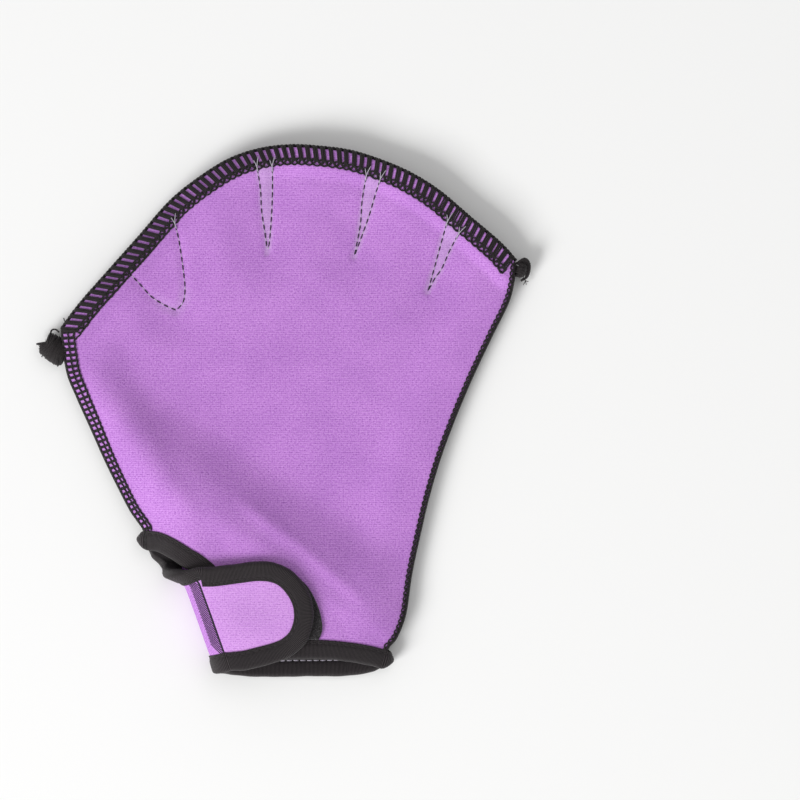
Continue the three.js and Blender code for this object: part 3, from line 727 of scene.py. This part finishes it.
def strap_cloth():
    gap = -STRAP_SEAM_GAP * FOLD_OUT
    low, high = SEAM_LOW + CLEARANCE, SEAM_HIGH - 2 * CLEARANCE
    ends = seam_in_plan(np.array([low, high])) + gap
    edge = Curve(np.vstack([ends[:1], STRAP_EDGE, ends[1:]]))
    low_turn, high_turn = 0.4, 0.62
    spots = patch(
        lambda t: seam_in_plan(mix(low, high, t)) + gap,
        lambda t: edge.at(mix(low_turn, high_turn, t)),
        lambda s: edge.at(low_turn * s),
        lambda s: edge.at(1 - (1 - high_turn) * s),
        np.linspace(0, 1, 90), np.linspace(0, 1, 90),
    )
    top, bottom = on_strap(spots, CLOTH_HALF), on_strap(spots, -CLOTH_HALF)
    grey = np.zeros(spots.shape[:2])
    # The strap takes the lighter copy of the neoprene, painted light for the light falling on it.
    obj = sheet_mesh("strap_cloth", top, bottom, plan_uv(spots), strap_purple_painted_lighter, {"grey": grey})
    return piece(obj, "strap_neoprene", "wrist_strap")


# Binding tape

# The tape's section: height of its face and the bulge towards the fold, the sewn groove, the height
# of its cut edge, how far its fold stands out, and its gap to the cloth
TAPE_FACE, TAPE_BULGE, BULGE_REACH = 1.72, 0.42, 5.2
GROOVE_DEPTH, GROOVE_AT, GROOVE_WIDTH = 0.5, 5.45, 0.55
CUT_HEIGHT, NOSE_REACH, SLOT_GAP = 1.45, 1.35, 0.05


def tape_section():
    """Section of the tape: depth in from the cloth's edge and height from its middle."""
    slot = CLOTH_HALF + SLOT_GAP
    d = np.linspace(TAPE_WIDTH, 0, 11)
    bulge = TAPE_BULGE * np.sin(math.pi * np.clip(1 - d / BULGE_REACH, 0, 1) * 0.5) ** 0.8
    outer = TAPE_FACE + bulge - GROOVE_DEPTH * bell(d - GROOVE_AT, GROOVE_WIDTH)
    outer[0] = CUT_HEIGHT
    angle = np.radians([65, 35, 0, -35, -65])
    nose = np.stack([-NOSE_REACH * np.cos(angle), TAPE_HALF * np.sin(angle)], -1)
    legs = np.linspace(TAPE_WIDTH, 0, 4)
    return np.vstack([
        np.stack([d, outer], -1), nose, np.stack([d[::-1], -outer[::-1]], -1),
        np.stack([legs, np.full(4, -slot)], -1), np.stack([legs[::-1], np.full(4, slot)], -1),
    ])


SECTION = tape_section()
# Points of the section that lie outside, in the middles of both faces and in both grooves
OUTSIDE = slice(1, 26)
TOP_MIDDLE, LOW_MIDDLE = 4, 22
TOP_STITCH, LOW_STITCH = 2, 24
# How the tape's end round a corner is squeezed in its width and rounded off
CORNER_SQUEEZE, CORNER_ROUNDING = 0.4, 0.22
# Puckers of the tape: height, travel and phase
PUCKERS = ((0.05, 1.35, 0.0), (0.07, 2.9, 1.1))


def edge_stations(spots, surface, start_inward, end_inward):
    """Sections of the tape along an edge of a surface."""
    ahead = np.vstack([spots[1:], spots[-1:]])
    behind = np.vstack([spots[:1], spots[:-1]])
    run = unit(surface(ahead, np.zeros(len(spots))) - surface(behind, np.zeros(len(spots))))
    outward = surface(spots, np.ones(len(spots))) - surface(spots, np.zeros(len(spots)))
    inward = unit(np.cross(outward, run))
    for fixed, end in ((start_inward, spots[0]), (end_inward, spots[-1])):
        share = 1 - ease(np.linalg.norm(spots - end, axis=-1), 0, TAPE_WIDTH)
        inward = unit(mix(inward, fixed, share[:, None]))
    n, k = len(spots), len(SECTION)
    start = np.repeat(spots[:, None], k, 1)
    depth = np.broadcast_to(SECTION[:, 0], (n, k))
    height = np.broadcast_to(SECTION[:, 1], (n, k))
    if surface is on_back:
        heading = np.repeat(inward[:, None], k, 1)
        landed = walk_on_back(start, heading, depth)
    else:
        landed = start + unit(inward[:, :2])[:, None] * depth[..., None]
    return surface(landed, height)


def corner_stations(spot, inward, outward, from_angle, to_angle, count=14):
    """Sections of the tape where it turns from one panel to the other at a corner."""
    low = back_height(spot[None])[0]
    high = on_front(spot[None], 0.0)[0, 2]
    radius = (high - low) / 2
    angle = mix(from_angle, to_angle, np.arange(1, count) / count)[:, None]
    reach = radius + SECTION[None, :, 1]
    middle = TAPE_WIDTH / 2
    share = (SECTION[None, :, 0] - middle) / middle
    depth = middle + middle * share * (1 - CORNER_SQUEEZE * np.cos(angle) ** 2)
    reach = reach * (1 - CORNER_ROUNDING * share**2 * np.cos(angle) ** 2)
    plan = spot + depth[..., None] * inward + (reach * np.cos(angle))[..., None] * outward
    z = (low + high) / 2 + reach * np.sin(angle)
    return np.concatenate([plan, z[..., None]], -1)


def seam_run(up):
    return unit(back_middle(unrolled(up + 1, 1.0)) - back_middle(unrolled(up, 1.0)))


def binding():
    """The tape in one closed run. Gives its stations and how many each stretch has."""
    mouth = front_mouth.at(np.linspace(1, 0, 110))
    cuff = front_wrist.at(np.linspace(0, 1, 90))[1:]
    thumb_inward = np.array([0, 1.0, 0])
    little_share = (TAPE_WIDTH + 3 * CLEARANCE) / little_side.length
    away = unit(little_side.at(little_share) - LITTLE_CORNER)
    little_inward = np.array([away[0], away[1], 0])
    little_outward = np.array([away[1], -away[0]])
    low_inward, high_inward = seam_run(SEAM_LOW), -seam_run(SEAM_HIGH - 1)
    rolled = FOLD_RADIUS * FOLD_TURN / back_cuff.length
    cuff_shares = [np.linspace(0, rolled, 60, endpoint=False), np.linspace(rolled, 1, 110)]
    cuff_back = back_cuff.at(np.concatenate(cuff_shares)[::-1])
    ends = seam_in_plan(np.array([SEAM_LOW, SEAM_HIGH]))
    strap_spots = Curve(np.vstack([ends[:1], STRAP_EDGE, ends[1:]])).at(np.linspace(0, 1, 200)[1:-1])
    parts = [
        edge_stations(np.vstack([mouth, cuff]), on_front, thumb_inward, little_inward),
        corner_stations(LITTLE_CORNER, little_inward[:2], little_outward, math.pi / 2, -math.pi / 2),
        edge_stations(cuff_back, on_back, little_inward, low_inward),
        edge_stations(strap_spots, on_strap, low_inward, high_inward),
        edge_stations(back_vent.at(np.linspace(0, 1, 110)), on_back, high_inward, thumb_inward),
        corner_stations(THUMB_CORNER, thumb_inward[:2], np.array([-1.0, 0]), -math.pi / 2, math.pi / 2),
    ]
    stations = np.vstack(parts)
    span = PLAN_SPAN * TAPE_UV_SHARE
    moved = np.linalg.norm(np.diff(stations, axis=0), axis=-1).mean(1)
    travel = np.concatenate([[0], np.cumsum(moved)])
    pucker = sum(height * np.sin(travel / length + phase) for height, length, phase in PUCKERS)
    centre = (stations[:, TOP_MIDDLE] + stations[:, LOW_MIDDLE]) / 2
    away = unit(stations - centre[:, None])
    loose = np.zeros(len(SECTION))
    loose[OUTSIDE] = np.sin(np.linspace(0, math.pi, OUTSIDE.stop - OUTSIDE.start)) * 0.6 + 0.4
    stations = stations + away * (loose[None] * pucker[:, None])[..., None]
    n, k = stations.shape[:2]
    quads = grid_quads(n, k, 0, True)
    index = np.arange(n * k).reshape(n, k)
    join = np.stack([index[-1], np.roll(index[-1], -1), np.roll(index[0], -1), index[0]], -1)
    around = np.concatenate([[0], np.cumsum(np.linalg.norm(np.diff(SECTION, axis=0), axis=-1))])
    uv = np.stack(np.broadcast_arrays(travel[:, None] / span, around / span), -1)
    obj = mesh_object("binding", stations, np.vstack([quads, join])[:, ::-1], tape, uv)
    piece(obj, "binding_tape", "edge_binding")
    return stations, [len(p) for p in parts]


STITCH_POINTS = 7


def stitch_travel(line, spacing, length, start=0.0):
    """Travel along a line, and the travel of the points of every stitch on it."""
    travel = np.concatenate([[0], np.cumsum(np.linalg.norm(np.diff(line, axis=0), axis=-1))])
    starts = np.arange(start, travel[-1] - length, spacing)
    return travel, starts[:, None] + np.linspace(0, length, STITCH_POINTS)[None]


def read_along(values, travel, s):
    return np.stack([np.interp(s, travel, c) for c in values.T], -1)


def stitch_rise(rise, sink):
    """Heights along a stitch, which dives into the cloth at both ends."""
    return rise - sink * (1 - np.sin(np.linspace(0, math.pi, STITCH_POINTS)) ** 0.5)


UPWARD, DOWNWARD = np.array([0, 0, 1.0]), np.array([0, 0, -1.0])
STITCH_SINK = 0.35


def dashes(threads, line, rise, spacing, length, radius, start=0.0, outward=UPWARD):
    """A row of stitches on a line."""
    runs = read_along(line, *stitch_travel(line, spacing, length, start))
    threads.add(runs + outward * stitch_rise(rise, STITCH_SINK)[None, :, None], radius)


TAPE_STITCH_PITCH, TAPE_STITCH_LENGTH, TAPE_STITCH_RISE, TAPE_STITCH_RADIUS = 2.7, 2.1, 0.12, 0.24


def tape_stitches(stations, counts):
    """Stitches through the tape, dark all round but pale inside the back's hem."""
    dark, pale = Threads(), Threads()
    hem_from = counts[0] + counts[1]
    hem_to = hem_from + counts[2]
    low = (slice(0, hem_from), dark), (slice(hem_from, hem_to), pale), (slice(hem_to, None), dark)
    runs = [(TOP_STITCH, LOW_STITCH, slice(None), dark)]
    runs += [(LOW_STITCH, TOP_STITCH, part, threads) for part, threads in low]
    for index, other, part, threads in runs:
        line = stations[part, index]
        out = unit(line - stations[part, other])
        travel, s = stitch_travel(line, TAPE_STITCH_PITCH, TAPE_STITCH_LENGTH)
        ways = unit(read_along(out, travel, s))
        rise = stitch_rise(TAPE_STITCH_RISE, STITCH_SINK)[None, :, None]
        threads.add(read_along(line, travel, s) + ways * rise, TAPE_STITCH_RADIUS)
    piece(dark.make("tape_stitches", dull_thread), "seam_thread")
    piece(pale.make("hem_stitches", grey_thread), "seam_thread")


# Overlocked edges

class Edge:
    """An edge of cloth in plan, with its way in, read by travel along it and depth in from it."""

    def __init__(self, curve, inner_side):
        self.length = curve.length
        share = np.linspace(0, 1, 500)
        self.travel = share * curve.length
        self.points = curve.at(share)
        run = unit(np.gradient(self.points, axis=0))
        self.inward = np.stack([-run[:, 1], run[:, 0]], -1) * inner_side

    def read(self, values, s):
        return np.stack([np.interp(s, self.travel, c) for c in values.T], -1)

    def spot(self, s, depth):
        s, depth = np.broadcast_arrays(s, depth)
        return self.read(self.points, s) + self.read(self.inward, s) * depth[..., None]

    def on(self, surface, s, depth, height):
        """A point of a surface, standing off it by a height; outside the edge the height is kept."""
        s, depth, height = np.broadcast_arrays(
            np.asarray(s, float), np.asarray(depth, float), np.asarray(height, float)
        )
        plan = self.spot(s, depth)
        level = surface(self.spot(s, np.maximum(depth, 0.0)), 0.0)[..., 2]
        return np.concatenate([plan, (level + height)[..., None]], -1)


finger = Edge(finger_edge, -1)
thumb = Edge(thumb_side, -1)
little = Edge(little_side, 1)


def back_flat(spot, height):
    """A point of the back where it lies flat."""
    return np.concatenate([spot, (back_height(spot) + height)[..., None]], -1)


def slant_at(s):
    """How far the threads lean along the edge for each millimetre inwards."""
    share = s / finger.length
    return mix(0.62, 0.22, ease(share, 0.12, 0.42))


def overlock(name, surface, node):
    """Overlocking: three strands to a stitch over the edge, loops along both faces, chains along it."""
    threads = Threads()
    pitch, strand, thick = 3.15, 0.62, 0.36
    count = int((finger.length + 0.4) / pitch)
    starts = -0.6 + (np.arange(count) + 0.5) * (finger.length + 0.4) / count
    starts = starts + rng.normal(0, 0.12, count)
    upper = 1.0 if name == "overlock_front_threads" else 0.94
    crowd = 1 + 0.24 * ease(starts / finger.length, 0.72, 0.86)
    depth = np.array([5.3, 4.2, 3.0, 1.8, 0.7, -0.25, -0.75, -0.9, -0.75, -0.25, 0.7, 2.0, 3.6, 5.2])
    top = CLOTH_HALF + thick * 0.95
    height = top * np.array([1, 1.06, 1.1, 1.1, 1.08, 0.98, 0.6, 0, -0.6, -0.98, -1.05, -1.05, -1.03, -1])
    for i, offset in enumerate((-1, 0, 1)):
        wander = rng.normal(0, 0.06, (count, 1))
        lean = slant_at(starts)[:, None] * np.maximum(depth, -0.5)[None]
        lean = np.where(height[None] >= 0, lean, -0.4 * lean)
        s = starts[:, None] + offset * strand * crowd[:, None] + lean - 0.5 + wander
        lift = 0.1 if i == 1 else 0.0
        d = depth[None] + rng.normal(0, 0.08, (count, 1)) * (depth[None] > 0)
        threads.add(finger.on(surface, s, d, height[None] * upper + lift * np.sign(height)[None]), thick)
    turn = np.linspace(0, 2 * math.pi, 15)[:-1]
    for side in (1, -1):
        lean = slant_at(starts)[:, None] * 6.0 * (1 if side > 0 else -0.4)
        s = starts[:, None] + lean - 0.5 + 1.25 * np.sin(turn)[None]
        d = 6.0 + 0.95 * np.cos(turn)[None] + rng.normal(0, 0.1, (count, 1))
        h = side * (top + 0.1 + 0.12 * np.sin(turn * 2)[None])
        threads.add(finger.on(surface, s, d, h), 0.34, closed=True)
        s = starts[:, None] + lean + 1.1 + 1.15 * np.sin(turn)[None]
        d = 5.2 + 0.8 * np.cos(turn)[None] + rng.normal(0, 0.1, (count, 1))
        threads.add(finger.on(surface, s, d, h - side * 0.12), 0.3, closed=True)
    travel = np.linspace(0.2, finger.length - 0.2, 420)
    chains = ((0, -0.9, 0.28), (math.pi, -0.9, 0.28), (0.8, 4.6, 0.3), (2.6, 6.7, 0.22))
    for phase, depth_at, swing in chains:
        wave = np.sin(travel * 2 * math.pi / pitch + phase)
        other = np.cos(travel * 2 * math.pi / pitch + phase)
        base = 0.0 if depth_at < 0 else top
        line = finger.on(surface, travel, depth_at + swing * wave, base + 0.35 * other)
        threads.add(line, 0.32)
        if depth_at > 0:
            threads.add(finger.on(surface, travel, depth_at + swing * wave, -base + 0.2 * other), 0.3)
    piece(threads.make(name, black_thread), "seam_thread", node)


# Shares of a seam thread's path that end its stretch on the front and start its stretch below
FRONT_SHARE, BELOW_SHARE = 0.3, 0.7


def both_sides(edge, s, share, depth_top, reach):
    """A path over the front panel's edge, down and under the back panel. share runs 0 to 1."""
    s, share = np.broadcast_arrays(np.asarray(s, float), np.asarray(share, float))
    top_z = on_front(edge.spot(s, 0.5), 0.0)[..., 2] + CLOTH_HALF
    low_z = back_height(edge.spot(s, 0.5)) - CLOTH_HALF
    middle, half = (top_z + low_z) / 2, (top_z - low_z) / 2
    inner = share < FRONT_SHARE
    under = share > BELOW_SHARE
    turn = np.clip((share - FRONT_SHARE) / (BELOW_SHARE - FRONT_SHARE), 0, 1) * math.pi
    below_in = depth_top * (share - BELOW_SHARE) / (1 - BELOW_SHARE)
    depth = np.where(inner, depth_top * (FRONT_SHARE - share) / FRONT_SHARE, np.where(under, below_in, 0))
    depth = depth - np.where(inner | under, 0, reach * np.sin(turn))
    rise = np.where(inner, 1, np.where(under, -1, np.cos(turn)))
    here = on_front(edge.spot(s, np.maximum(depth, 0)), 0.0)[..., 2] + CLOTH_HALF
    below = back_height(edge.spot(s, np.maximum(depth, 0))) - CLOTH_HALF
    z = np.where(inner, here + 0.34, np.where(under, below - 0.3, middle + rise * (half + 0.32)))
    return np.concatenate([edge.spot(s, depth), z[..., None]], -1)


SEAM_PITCH = 2.3
SEAM_INSET, SEAM_PAST = TAPE_WIDTH - 0.4, 0.2
THUMB_SEAM_START, THUMB_SEAM_END = 2.7, 4.4
# Threads along the thumb's seam: share of its width, way out past it, phase, drop and radius
THUMB_LINES = ((1, 0, 0, 0, 0.38), (0.98, 0, 0.18, 0, 0.34), (0.46, 0, 4.5, 0, 0.3), (0, 0.3, 9, 0.5, 0.34))


def thumb_seam():
    """A ladder of thread over the thumb's side, wider towards the finger edge."""
    threads = Threads()
    first, last = SEAM_INSET, thumb.length + SEAM_PAST
    count = int((last - first) / SEAM_PITCH)
    starts = first + (np.arange(count) + 0.5) * (last - first) / count
    width = mix(THUMB_SEAM_START, THUMB_SEAM_END, ease(starts, first, last * 0.9))
    share = np.linspace(0, 1, 17)
    for offset in (-0.28, 0.28):
        s = starts[:, None] + offset + 0.5 * (share[None] - 0.5) + rng.normal(0, 0.05, (count, 1))
        threads.add(both_sides(thumb, s, share[None], width[:, None], 0.75), 0.3)
    travel = np.linspace(first, last, 260)
    wide = mix(THUMB_SEAM_START, THUMB_SEAM_END, ease(travel, first, last * 0.9))
    for part, past, phase, drop, radius in THUMB_LINES:
        depth = wide * part + 0.16 * np.sin(travel * 2 * math.pi / SEAM_PITCH + phase) - past
        plan, inside = thumb.spot(travel, depth), thumb.spot(travel, np.maximum(depth, 0))
        top = on_front(inside, 0.0)[..., 2] + CLOTH_HALF + 0.42 - drop
        low = back_height(inside) - CLOTH_HALF - 0.3 + drop
        for z in (top, low):
            threads.add(np.concatenate([plan, z[:, None]], -1), radius)
    for share_at in (0.42, 0.5, 0.58):
        threads.add(both_sides(thumb, travel, np.full_like(travel, share_at), 3.0, 0.8), 0.33)
    piece(threads.make("thumb_seam_threads", black_thread), "seam_thread", "side_seam_thumb")


def little_seam():
    """A narrow chain of thread over the little finger's side."""
    threads = Threads()
    first, last = SEAM_INSET, little.length + SEAM_PAST
    travel = np.linspace(first, last, 900)
    for phase in (0, math.pi):
        depth = 0.75 + 0.62 * np.sin(travel * math.pi / SEAM_PITCH + phase)
        lift = 0.14 * np.cos(travel * math.pi / SEAM_PITCH + phase)
        plan, inside = little.spot(travel, depth), little.spot(travel, np.maximum(depth, 0))
        top = on_front(inside, 0.0)[..., 2] + CLOTH_HALF + 0.4 + lift
        low = back_height(inside) - CLOTH_HALF - 0.3 - 0.2 * lift
        for z in (top, low):
            threads.add(np.concatenate([plan, z[:, None]], -1), 0.3)
    count = int((last - first) / SEAM_PITCH)
    starts = first + (np.arange(count) + 0.5) * (last - first) / count
    share = np.linspace(0, 1, 17)
    for offset in (-0.35, 0.35):
        s = starts[:, None] + offset + 0.4 * (share[None] - 0.5)
        threads.add(both_sides(little, s, share[None], np.full((count, 1), 0.9), 0.7), 0.28)
    for share_at in (0.36, 0.44, 0.5, 0.56, 0.64):
        threads.add(both_sides(little, travel[::2], share_at, 1.0, 0.62), 0.3)
    piece(threads.make("little_seam_threads", black_thread), "seam_thread", "side_seam_little")


# Thread lumps at the ends of the finger edge

def lump(centre, size, turns, hairs, long_way):
    """Thread wound round and round a corner, with loose fibres."""
    threads = Threads()
    a, b, c = size
    way = unit(np.array(long_way, float))
    side = np.array([-way[1], way[0]])
    for _ in range(turns):
        t = np.linspace(0, 2 * math.pi, 25)[:-1]
        place_along = rng.uniform(-0.92, 0.92)
        ring = math.sqrt(max(1 - abs(place_along) ** 2.6, 0.05))
        tilt = rng.normal(0, 0.22)
        along = place_along * a + tilt * b * np.cos(t)
        across, up = ring * b * np.cos(t), ring * c * np.sin(t)
        wobble = rng.normal(0, 0.12, 3)
        plan = centre[:2] + along[:, None] * way + (across + wobble[0])[:, None] * side
        z = np.maximum(centre[2] + up + wobble[1], 0.4)
        threads.add(np.concatenate([plan, z[:, None]], -1), rng.uniform(0.3, 0.44), closed=True)
    for _ in range(hairs):
        turn, lean = rng.uniform(0, 2 * math.pi), rng.uniform(-0.2, 0.9)
        out = np.array([math.cos(turn) * math.cos(lean), math.sin(turn) * math.cos(lean), math.sin(lean)])
        base = centre + np.array([*(out[0] * a * 0.92 * way + out[1] * b * 0.92 * side), out[2] * c * 0.9])
        reach = rng.uniform(0.5, 1.5)
        head = np.array([*(out[0] * way + out[1] * side), out[2]])
        bend = rng.normal(0, 0.45, 3)
        t = np.linspace(0, 1, 6)[:, None]
        path = base + head * reach * t + bend * t**2
        path[:, 2] = np.maximum(path[:, 2], 0.15)
        threads.add(path, np.linspace(0.09, 0.04, 6)[None], sides=4)
    return threads


def strand(rows, step=6):
    """A thread's path through places given by pixel and height."""
    return Curve([[*at_pixel(x, y), z] for x, y, z in rows]).points[::step]


def thumb_lump():
    centre = np.array([*at_pixel(54, 349.5), 4.9])
    threads = lump(centre, (5.2, 4.9, 4.3), 110, 110, (-0.8, 0.6))
    threads.add(strand([
        (57, 338, 6.8), (52, 336, 6.4), (49.5, 332.5, 5.6), (51, 329.5, 5.4), (55, 329.5, 6.2), (58, 332, 7.4),
    ]), 0.36)
    threads.add(strand([(42, 352, 2.4), (40.5, 354, 1.2), (39, 357, 0.6)], 5), 0.2)
    threads.add(strand([(65, 323, 7.4), (63.5, 320, 7.8), (63, 318, 7.6)]), 0.22)
    piece(threads.make("thumb_lump", black_thread), "seam_thread", "corner_tack_thumb")


LITTLE_LOOP = (
    (519, 262, 7.0), (523.5, 259, 7.4), (527.5, 261, 6.8), (529.5, 266, 6.0), (529, 272, 5.2),
    (527, 277, 4.4), (523, 279, 4.0),
)


def little_lump():
    centre = np.array([*at_pixel(521, 269), 4.7])
    threads = lump(centre, (3.4, 2.2, 3.6), 34, 30, (0.45, 1.0))
    for across, down, radius in ((0, 0, 0.5), (-1.6, 1.2, 0.45), (1.0, -0.8, 0.36)):
        threads.add(strand([(x + across, y + down, z) for x, y, z in LITTLE_LOOP]), radius)
    for end in ((527, 284), (529, 281), (524, 284.5)):
        threads.add(strand([(524, 277, 4.4), (526, 280, 3.4), (*end, 2.6)]), 0.16)
    piece(threads.make("little_lump", black_thread), "seam_thread", "corner_tack_little")


# Stitched lines between the fingers

DIVIDER_PITCH = 3.3


def divider_stitches():
    """Dark stitches with pale thread between them, and loose pale ends across the band."""
    dark, pale = Threads(), Threads()
    for i, curve in enumerate(stitch_curves):
        plan = curve.at(np.linspace(0, 1, 200))
        line = on_front(plan, CLOTH_HALF)
        dashes(dark, line, 0.16, DIVIDER_PITCH, 2.0, 0.27)
        dashes(pale, line, 0.02, DIVIDER_PITCH, 1.3, 0.2, start=2.0)
        under = back_flat(plan, -CLOTH_HALF)
        dashes(dark, under, 0.02, DIVIDER_PITCH, 2.0, 0.2, outward=DOWNWARD)
        start, run = curve.points[0], unit(curve.points[6] - curve.points[0])
        if i != 1:
            side = np.array([-run[1], run[0]])
            for lean, reach in ((0.25, 4.6), (-0.3, 3.2)):
                t = np.linspace(-0.35, 1, 9)[:, None]
                path = start - run * reach * t + side * lean * reach * np.abs(t) ** 1.5
                rise = CLOTH_HALF + 0.95 + 0.25 * np.sin(np.linspace(0, math.pi, 9))
                rise[0] = CLOTH_HALF
                lying = on_front(path, 0.0)
                lying[:, 2] += rise
                pale.add(lying, 0.17)
    piece(dark.make("divider_stitches", line_thread), "seam_thread")
    piece(pale.make("divider_pale_threads", grey_thread), "seam_thread")


# Seam of the strap, its hatching threads and its fastening

SEAM_INDENT = 4.0
HATCH_PITCH, HATCH_REACH, HATCH_SLANT, HATCH_POINTS = 1.25, 3.9, 1.8, 9


def strap_seam():
    """The thread line of the strap's seam, and slanting threads on the roll beside it."""
    threads = Threads()
    ups = np.linspace(SEAM_LOW + SEAM_INDENT, SEAM_HIGH - SEAM_INDENT, 160)
    line = on_back(unrolled(ups, 1.0), np.full(len(ups), CLOTH_HALF))
    threads.add(line + np.array([0, 0, 0.05]), 0.3)
    starts = np.arange(SEAM_LOW + SEAM_INDENT + 0.5, SEAM_HIGH - SEAM_INDENT, HATCH_PITCH)
    reach = np.linspace(0, HATCH_REACH, HATCH_POINTS)
    turn = 1 - reach / (FOLD_RADIUS * FOLD_TURN)
    up = starts[:, None] + reach[None] * HATCH_SLANT
    up = up[up[:, -1] < SEAM_HIGH + 1.0]
    spots = unrolled(up, np.broadcast_to(turn, up.shape))
    rise = CLOTH_HALF + 0.07 + 0.06 * np.sin(np.linspace(0, math.pi, HATCH_POINTS))
    threads.add(on_back(spots, np.broadcast_to(rise, spots.shape[:2])), 0.15, sides=4)
    piece(threads.make("strap_seam_threads", line_thread), "seam_thread")


PAD_HALF, PAD_ROUGHNESS, PAD_GRID = 0.45, 0.14, 60
LOOP_CORNERS = [(-0.04, 0.083), (0.07, 0.078), (0.02, 0.203), (-0.04, 0.198)]
LOOP_BULGE = [(322.5, 629), (321, 615), (316, 600), (308, 586)]
HOOK_CORNERS = [(-0.1, 0.088), (-0.019, 0.0915), (-0.013, 0.158), (-0.1, 0.158)]
FUZZ_COUNT, FUZZ_POINTS, FUZZ_RADIUS = 900, 7, 0.07


def pad_spots(corners, bulge=()):
    a, b, c, d = places(corners)
    s = np.linspace(0, 1, PAD_GRID)

    def line(p, q):
        return lambda t: p + (q - p) * t[:, None]

    bow = Curve(np.vstack([b, [at_pixel(*q) for q in bulge], c])).at if bulge else line(b, c)
    return patch(line(a, d), bow, line(a, b), line(d, c), s, s)


def fastening():
    """The loop pad on the front, the hook pad under the strap, and fuzz on the loops."""
    offset = CLOTH_HALF + CLEARANCE + PAD_HALF
    loop_spots, hook_spots = pad_spots(LOOP_CORNERS, LOOP_BULGE), pad_spots(HOOK_CORNERS)
    soft = PAD_ROUGHNESS * rng.normal(0, 1, loop_spots.shape[:2])
    top = on_front(loop_spots, offset + PAD_HALF + soft)
    loop = sheet_mesh("loop_pad", top, on_front(loop_spots, offset - PAD_HALF), plan_uv(loop_spots), loop_pile)
    piece(loop, "loop_pile", "loop_patch")
    soft = PAD_ROUGHNESS * rng.normal(0, 1, hook_spots.shape[:2])
    top, bottom = on_strap(hook_spots, PAD_HALF - offset), on_strap(hook_spots, -offset - PAD_HALF + soft)
    piece(sheet_mesh("hook_pad", top, bottom, plan_uv(hook_spots), hook_pile), "hook_tape", "hook_patch")
    fuzz = Threads()
    picked = rng.integers(1, PAD_GRID - 1, (FUZZ_COUNT, 2))
    base = loop_spots[picked[:, 0], picked[:, 1]]
    turn = rng.uniform(0, 2 * math.pi, FUZZ_COUNT)
    t = np.linspace(0, math.pi, FUZZ_POINTS)
    wide = rng.uniform(0.3, 0.7, FUZZ_COUNT)[:, None]
    way = np.stack([np.cos(turn), np.sin(turn)], -1)[:, None]
    plan = base[:, None] + way * (wide * np.cos(t))[..., None]
    tall = rng.uniform(0.35, 0.8, FUZZ_COUNT)[:, None] * np.sin(t)
    lying = on_front(plan, 0.0)
    lying[..., 2] += offset + PAD_HALF + tall
    fuzz.add(lying, FUZZ_RADIUS, sides=4)
    piece(fuzz.make("loop_fuzz", fuzz_thread), "loop_pile")


front_object = front_cloth()
back_object = back_cloth()
strap_object = strap_cloth()
tape_points, tape_counts = binding()
tape_stitches(tape_points, tape_counts)
overlock("overlock_front_threads", on_front, "overlock_front")
overlock("overlock_back_threads", back_flat, "overlock_back")
thumb_seam()
little_seam()
thumb_lump()
little_lump()
divider_stitches()
strap_seam()
fastening()


# Floor, light and camera

FLOOR_HALF, FLOOR_DROP = 3.0, 0.0002
KEY_PLACE, KEY_SIZE, KEY_POWER = (-2.1, -2.1, 2.1), 1.7, 122.0
FILL_PLACE, FILL_SIZE, FILL_POWER = (0.5, 0.6, 1.9), 1.6, 6.0
SKY_STRENGTH = 0.44


def plain_floor():
    mesh = bpy.data.meshes.new("floor")
    h = FLOOR_HALF
    mesh.from_pydata([(-h, -h, 0), (h, -h, 0), (h, h, 0), (-h, h, 0)], [], [(0, 1, 2, 3)])
    floor = bpy.data.objects.new("floor", mesh)
    bpy.context.scene.collection.objects.link(floor)
    floor.location.z = -FLOOR_DROP
    s = Shader("floor", 0.9, specular=0.1)
    s.main.inputs["Base Color"].default_value = (0.9, 0.9, 0.895, 1)
    mesh.materials.append(s.material)


def soft_light(name, position, size, power):
    """A square soft light that faces the middle of the glove."""
    data = bpy.data.lights.new(name, "AREA")
    data.energy, data.size = power, size
    lamp = bpy.data.objects.new(name, data)
    bpy.context.scene.collection.objects.link(lamp)
    lamp.location = position
    lamp.rotation_euler = (-Vector(position)).to_track_quat("-Z", "Y").to_euler()


plain_floor()
soft_light("key", KEY_PLACE, KEY_SIZE, KEY_POWER)
soft_light("fill", FILL_PLACE, FILL_SIZE, FILL_POWER)
world = bpy.data.worlds.new("studio")
world.use_nodes = True
world.node_tree.nodes["Background"].inputs["Color"].default_value = (1, 1, 1, 1)
world.node_tree.nodes["Background"].inputs["Strength"].default_value = SKY_STRENGTH
bpy.context.scene.world = world
bpy.context.scene.view_settings.view_transform = "Standard"

CAMERA_HEIGHT = 1.45
GLOVE_LEVEL = 0.010
FRAME_WIDTH = 0.3196
SENSOR_WIDTH = 36.0
camera_data = bpy.data.cameras.new("camera")
camera_data.sensor_width = SENSOR_WIDTH
camera_data.lens = SENSOR_WIDTH * (CAMERA_HEIGHT - GLOVE_LEVEL) / FRAME_WIDTH
camera = bpy.data.objects.new("camera", camera_data)
bpy.context.scene.collection.objects.link(camera)
centre_x, centre_y = (at_pixel(400, 400) + PLAN_SHIFT[:2]) * MM
camera.location = (centre_x, centre_y, CAMERA_HEIGHT)
camera.rotation_euler = (0, 0, 0)
bpy.context.scene.camera = camera
